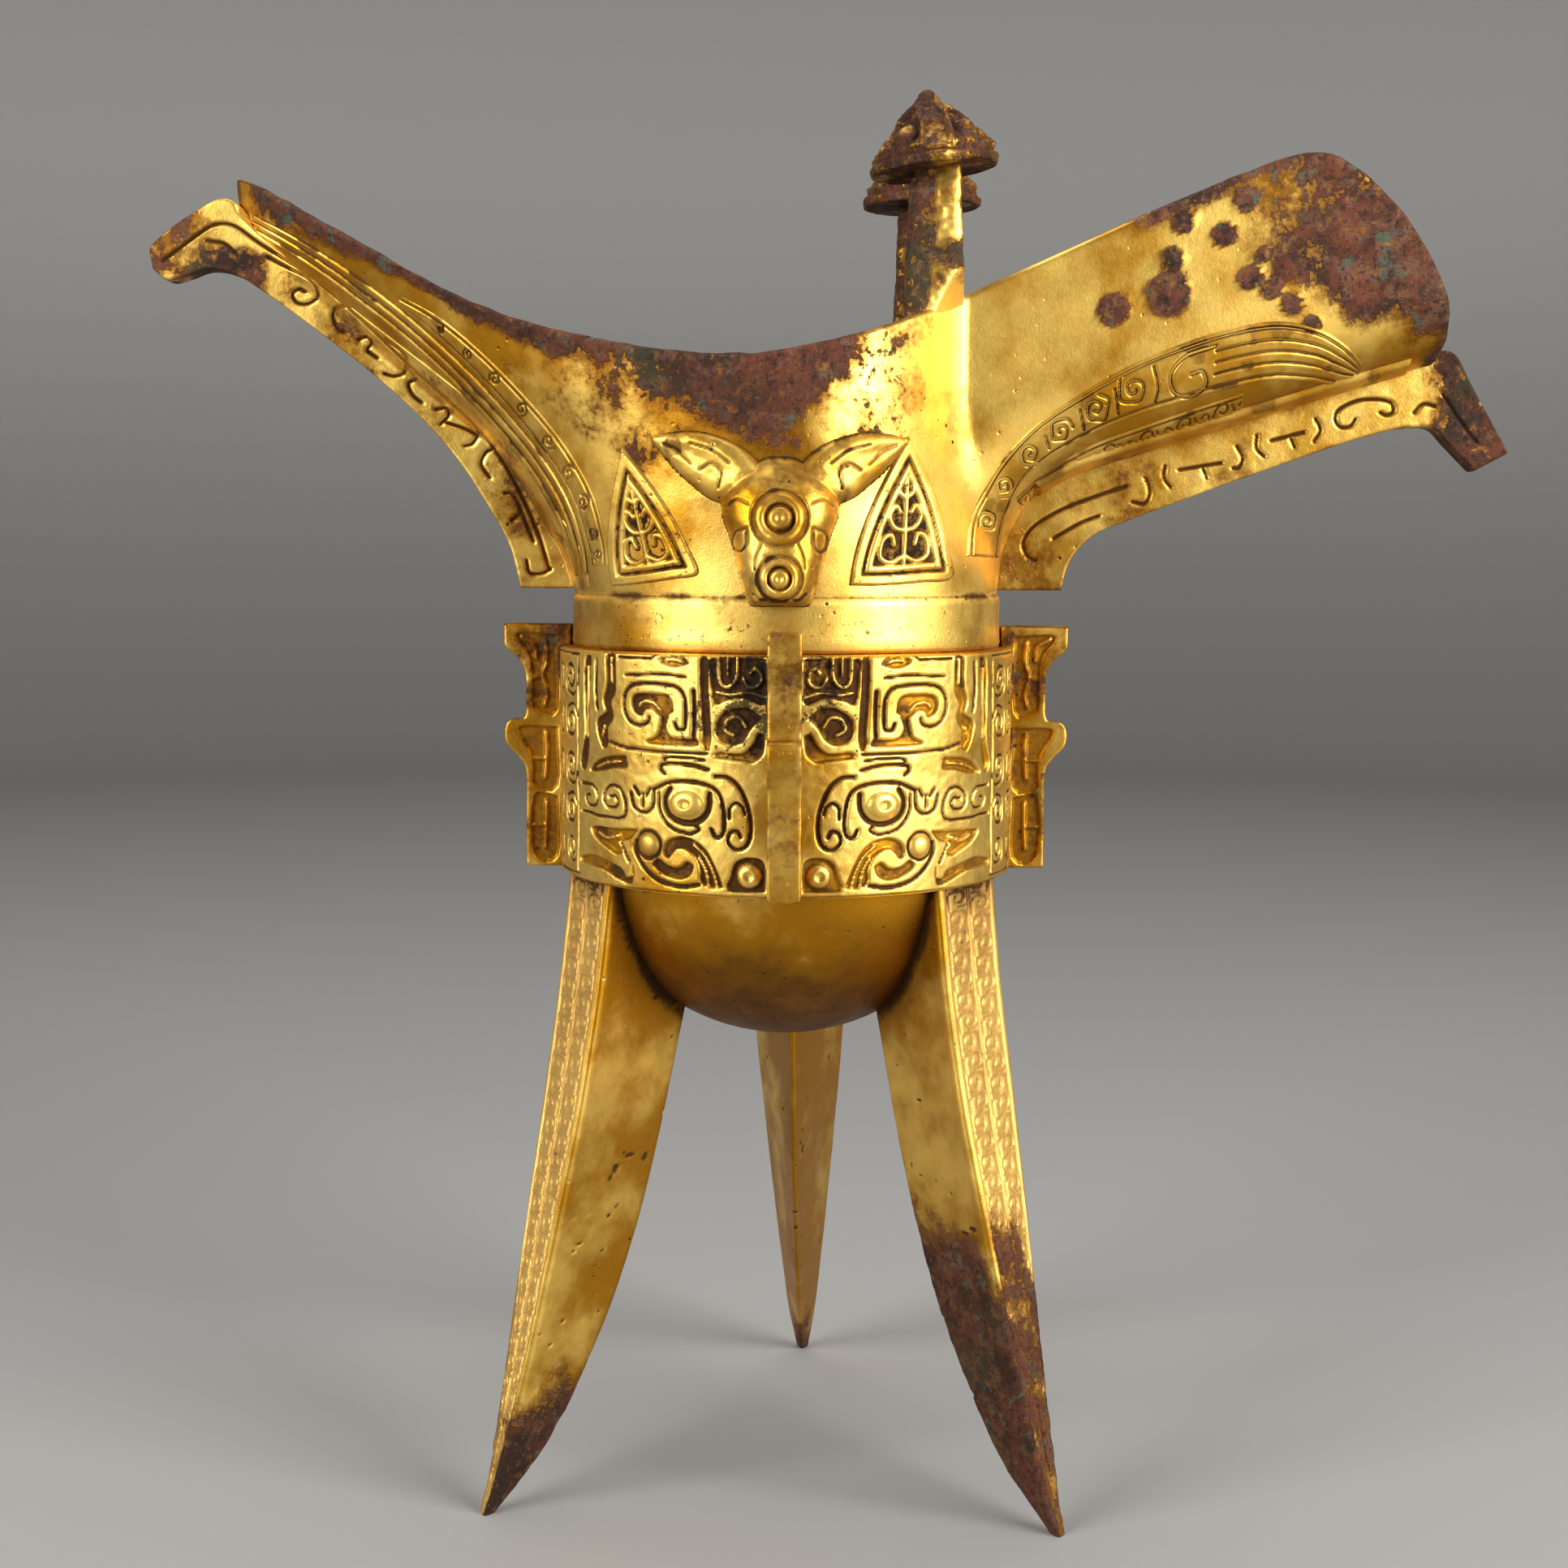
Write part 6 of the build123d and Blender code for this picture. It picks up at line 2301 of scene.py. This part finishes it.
        def place(u: Array, v: Array) -> Placed:
            """Points of the three sides, pitted and crusted.

            Args:
                u: Share of the way round a section.
                v: Share of the height, from the tip.

            Returns:
                Points and painted values.
            """
            spot = ring[np.rint(u * columns).astype(int)]
            shares, *columns_of = zip(*self.sections)
            reach, width, depth = (monotone(tuple(zip(shares, sizes)), v) for sizes in columns_of)
            reach = self.bowl_r + reach
            flat = self.section_points(spot, reach, width, depth)
            z = v * self.height
            outer = (spot[:, 0] == 0) & (spot[:, 2] == 0)
            cut = self.scrolls(flat[:, 1], z, width) * outer
            where = np.stack([flat[:, 0], flat[:, 1], z + leg.azimuth], 1)
            waver = self.lumps.waver(where, 9)
            corner = np.where(spot[:, 0] == 1, 1 - spot[:, 1], spot[:, 1]) ** 2
            level = leg.crust_z - leg.corner_drop * corner
            patina = fall(z - 16 * waver, level - 5, 11) * np.where(outer, leg.face_crust, self.side_crust)
            pits = rise(self.lumps.at(where, 1.1), 0.86, 0.08) * ~outer
            pits = pits * rise(self.lumps.at(where, 12), 0.35, 0.2)
            swell = 0.3 * self.lumps.waver(where, 12) + 0.5 * patina * (self.lumps.rough(where, 2) - 0.45)
            swell = (swell - cut - 0.3 * pits) * ease(v / 0.01) * ease((1 - v) / 0.01)
            away = flat - np.stack([reach - depth / 3, np.zeros(len(u))], 1)
            away = away / np.maximum(np.linalg.norm(away, axis=1, keepdims=True), TINY)
            away = np.where(outer[:, None], (1.0, 0.0), away)
            flat = self.clear_bowl(flat + away * swell[:, None], z)
            ball = np.sqrt((flat**2).sum(1) + (z - self.ball_z) ** 2) - self.ball_r
            seam = bell(ball, 0, 2.2)
            lines = cut / self.line_depth
            dirt = seam * (0.35 + self.lumps.rough(where, 3)) + 0.26 * lines + pits
            # painted shade of the leg and its inner faces, with amber in the cut lines and near the bowl
            tone = leg.tone + leg.inner_face_shade * ~outer + 0.6 * lines + 0.6 * bell(ball, 0, 5)
            return about_axis(flat, z, math.radians(leg.azimuth)), {
                "grime": dirt + np.where(outer, 0.1, 0.35) * rise(waver, 0.1, 0.1),
                "patina": patina,
                "shade": np.maximum(tone, 0.75 * patina),
                "soot": 0.2 + 0.3 * seam,
                "matte": 0.85 * outer,
            }

        self.cast(f"{leg.node}_cast", (columns, self.rows), place, leg.node)

    def build(self) -> None:
        """Makes the three legs."""
        for leg in self.legs:
            self.cast_leg(leg)


@dataclass
class Caps(Casting):
    """Corroded cone caps with an eye boss and brows.

    The profile is (share of the reach, height), and a cap has its node, its x and y and its tilt in degrees.
    """

    seed: ClassVar[int] = 61
    caps: tuple = (("front_cap", 21.3, -16.8, -7.0), ("rear_cap", 21.3, 16.8, -1.0))
    reach: float = 9.3
    profile: Line = (
        (0, 0), (0.5, 0), (0.985, 0), (1, 0.35), (1, 1.1), (0.975, 1.5), (0.5, 6.6), (0.2, 9.7),
        (0.11, 10.9), (0.05, 11.45), (0, 11.6),
    )
    top_z: float = 200.2
    brim_z: float = 1.6
    mask_r: float = 6.0
    masks: int = 4
    eye: Spot = (-0.4, 4.6)
    brow: Line = ((-4.6, 2.2), (-3.2, 4.6), (-1.6, 7), (-0.2, 8.4), (1.4, 7), (2.8, 4.8), (4.4, 2.4))
    lid: Line = ((-4.8, 2.6), (-2, 2.4), (1, 2.7), (4.8, 2.5))
    brim_line: Line = ((-7, 1.7), (0, 1.7), (7, 1.7))
    columns: int = 200
    rows: int = 110

    def relief(self, across: Array, z: Array, r: Array) -> Relief:
        """Eye boss between a brow and the brim.

        Args:
            across: Distances from the middle of the mask, at its own radius.
            z: Heights over the brim.
            r: Radius at each point.

        Returns:
            The heights at each point.
        """
        relief = Relief(across * np.clip(r / self.mask_r, 0.1, None), z)
        relief.ring(self.eye, (2.2, 1.9), 0.8, 0.5)
        relief.boss(self.eye, (1.6, 1.4), 1.1)
        relief.ridge(1.1, 0.7, self.brow)
        relief.ridge(0.9, 0.5, self.lid)
        relief.groove(0.7, 0.5, self.brim_line)
        return relief

    def cast_cap(self, node: str, x: float, y: float, tilt: float) -> None:
        """Makes one cap.

        Args:
            node: CAD node that it stands for.
            x: Its place along the vessel.
            y: Its place across the vessel.
            tilt: How far it leans, in degrees.
        """
        line = np.array(self.profile) * (self.reach, 1.0)
        marks = lengths(line)
        facing = -1 if y < 0 else 1
        cos = math.cos(math.radians(tilt))
        sin = math.sin(math.radians(tilt))

        def place(u: Array, v: Array) -> Placed:
            """Points of the cone, crusted and tilted.

            Args:
                u: Share of the turn.
                v: Share along the profile.

            Returns:
                Points and painted values.
            """
            along = v * marks[-1]
            r, z = along_line(along, marks, line).T
            turn = u * math.tau
            across = ((u * self.masks) % 1 - 0.5) * math.tau / self.masks * self.mask_r
            relief = self.relief(across, z, r)
            where = np.stack([r * np.cos(turn), r * np.sin(turn) + 3 * facing, z], 1)
            crust = 0.9 * self.lumps.waver(where, 3) + 0.4 * (self.lumps.at(where, 0.7) - 0.5)
            swell = (relief.rise - relief.cut + crust) * ease(r / 1.5) * ease(along / 8)
            wide = r + 0.78 * swell
            px = wide * np.cos(turn)
            pz = z + swell * np.where(z < self.brim_z, 0.25, 0.62)
            spun = np.stack([px * cos + pz * sin, facing * wide * np.sin(turn), pz * cos - px * sin], 1)
            return spun + (x, y, self.top_z), {
                "grime": relief.cut / 0.4,
                "patina": 0.27 + 0.75 * self.lumps.rough(where, 4) - 0.2 * relief.rise,
                "shade": np.full(len(u), 0.4),
            }

        self.cast(f"{node}_cast", (self.columns, self.rows), place, node, Slot.AGED)

    def build(self) -> None:
        """Makes both caps."""
        for cap in self.caps:
            self.cast_cap(*cap)


@dataclass
class Posts(Casting):
    """Tapered posts with rounded corners and a corroded face, grown out of the mouth's wall."""

    seed: ClassVar[int] = 71
    mouth: Mouth
    x: float = 21.3
    foot_z: float = 174.4
    top_z: float = 200.8
    foot_half_x: float = 4.6
    foot_half_y: float = 2.7
    foot_y: float = 18.9
    taper_x: float = 0.95
    taper_y: float = 0.4
    lean_y: float = 2.1
    squareness: int = 6
    patch_share: float = 0.54
    columns: int = 96
    rows: int = 110

    def cast_post(self, node: str, side: int) -> None:
        """Makes one post.

        Args:
            node: CAD node that it stands for.
            side: -1 in front, 1 behind.
        """

        def place(u: Array, v: Array) -> Placed:
            """Points of the post, sunk into the wall below the rim.

            Args:
                u: Share of the turn.
                v: Share of the height.

            Returns:
                Points and painted values.
            """
            cos = np.cos(u * math.tau)
            sin = np.sin(u * math.tau)
            box = squared(cos, sin, self.squareness)
            half_x = self.foot_half_x - self.taper_x * v
            half_y = self.foot_half_y - self.taper_y * v
            z = self.foot_z + v * (self.top_z - self.foot_z)
            where = np.stack([half_x * cos, half_y * sin + 9 * side, z], 1)
            swell = 0.5 * self.lumps.waver(where, 3) + 0.2 * (self.lumps.at(where, 0.8) - 0.5)
            x = self.x + (half_x + swell) * box * cos
            out = self.foot_y - self.lean_y * v + side * (half_y + swell) * box * sin
            over_rim = z - self.mouth.neck_z - self.mouth.rim_height(x)
            wall = self.mouth.half_y(x, z - self.mouth.neck_z)
            proud = wall - 0.35 + 3.6 * rise(over_rim, -3, 8)
            out = (out + proud - np.hypot(out - proud, 0.7)) / 2
            waver = self.lumps.waver(where, 4)
            dark = fall(x + 3 * waver, self.x - 1, 1.6) * rise(over_rim, -1.5, 3)
            patch = bell(v, self.patch_share, 0.1) * (0.8 + waver)
            bare = rise(over_rim, -1, 4)
            return np.stack([x, side * out, z], 1), {
                "patina": np.maximum.reduce([0.66 * dark, patch, 0.3 * bare]),
                "grime": np.full(len(u), 0.2),
                "shade": 0.25 * bare,
            }

        self.cast(f"{node}_cast", (self.columns, self.rows), place, node, Slot.AGED)

    def build(self) -> None:
        """Makes both posts."""
        self.cast_post("front_post", Side.MINUS.value)
        self.cast_post("rear_post", Side.PLUS.value)


@dataclass
class Handle(Casting):
    """Strap handle behind the cup, with a row of curls between two lines."""

    seed: ClassVar[int] = 83
    half_x: float = 5.5
    half_t: float = 2.25
    start_y: float = 32.4
    end_y: float = 56.2
    seam_y: float = 34.6
    top_z: float = 126.0
    low_z: float = 101.5
    bend_r: float = 9.0
    squareness: int = 5
    pitch: float = 4.4
    line_x: float = 3.3
    curl_x: float = 2.8
    curl_depth: float = 0.4
    curl: Line = ((-1.9, -1.6), (-1.2, 1.2), (0.6, 1.5), (1.4, 0.2), (0.6, -0.8), (-0.2, -0.1))
    columns: int = 104
    rows: int = 190

    def path(self) -> Array:
        """Middle line of the strap, in the plane of the handle.

        Returns:
            Points from the upper end to the lower one.
        """
        corner = np.radians(np.linspace(90, 0, 25))
        middle = (self.end_y - self.bend_r, self.top_z)
        top = np.stack([np.cos(corner), np.sin(corner) - 1], 1) * self.bend_r + middle
        low = top[::-1] * (1, -1) + (0, self.top_z + self.low_z)
        return np.concatenate([[(self.start_y, self.top_z)], top, low, [(self.start_y, self.low_z)]])

    def cuts(self, across: Array, along: Array) -> Array:
        """Depth of the curls and of the two lines beside them.

        Args:
            across: Distances from the middle of the strap.
            along: Distances along it.

        Returns:
            The depth at each point.
        """
        step = along / self.pitch
        curl = Relief((step % 1 - 0.5) * self.pitch, across * np.where(step % 2 < 1, 1.0, -1.0))
        curl.groove(0.8, self.curl_depth, self.curl)
        curl.cut = curl.cut * (np.abs(across) < self.curl_x)
        curl.stripe(np.abs(np.abs(across) - self.line_x), 0.9, self.curl_depth)
        return curl.cut

    def build(self) -> None:
        """Makes the handle."""
        line = self.path()
        marks = lengths(line)

        def place(u: Array, v: Array) -> Placed:
            """Points round the strap, cut on its outer face.

            Args:
                u: Share of the way round the strap.
                v: Share along it.

            Returns:
                Points and painted values.
            """
            cos = np.cos(u * math.tau)
            sin = np.sin(u * math.tau)
            box = squared(cos, sin, self.squareness)
            across = self.half_x * box * cos
            out = self.half_t * box * sin
            along = v * marks[-1]
            ahead = along_line(np.minimum(along + 0.5, marks[-1]), marks, line)
            ahead = ahead - along_line(np.maximum(along - 0.5, 0), marks, line)
            ahead = ahead / np.linalg.norm(ahead, axis=1, keepdims=True)
            cut = self.cuts(across, along) * rise(out, 1.5, 0.4)
            where = np.stack([across, along, out + 9], 1)
            out = out - cut + 0.25 * self.lumps.waver(where, 4)
            flat = along_line(along, marks, line) + np.stack([-ahead[:, 1], ahead[:, 0]], 1) * out[:, None]
            seam = bell(flat[:, 0], self.seam_y, 1.4)
            return np.column_stack([across, flat]), {
                "grime": cut / self.curl_depth + seam + 0.4 * self.lumps.patches(where, 5, 0.55),
                "shade": 0.25 + 0.4 * seam,
                "patina": 0.3 * self.lumps.rough(where, 5),
                "soot": np.full(len(u), 0.3),
            }

        self.cast("handle_strap", (self.columns, self.rows), place, "handle")


def main() -> None:
    """Builds the stage and every piece."""
    logging.basicConfig(level=logging.INFO, format="%(name)s %(message)s")
    gilt = Metalwork("gilt_bronze_worn").build()
    # the bowl: gilding leaned to amber by painted shade, darker still towards its underside
    low_gilt = Metalwork("gilt_bronze_amber_shaded", shade=0.9, underside_film_and_shade=1.0).build()
    Studio().build()
    for name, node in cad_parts.items():
        node.data.materials.clear()
        node.data.materials.append(low_gilt if name == "bowl" else gilt)
    mouth = Mouth(gilt)
    mouth.build()
    Frieze(gilt).build()
    MouthOrnament(gilt, mouth).build()
    Head(gilt, mouth).build()
    Fins(gilt, mouth).build()
    Legs(gilt).build()
    Caps(gilt).build()
    Posts(gilt, mouth).build()
    Handle(gilt).build()


if __name__ == "__main__":
    main()
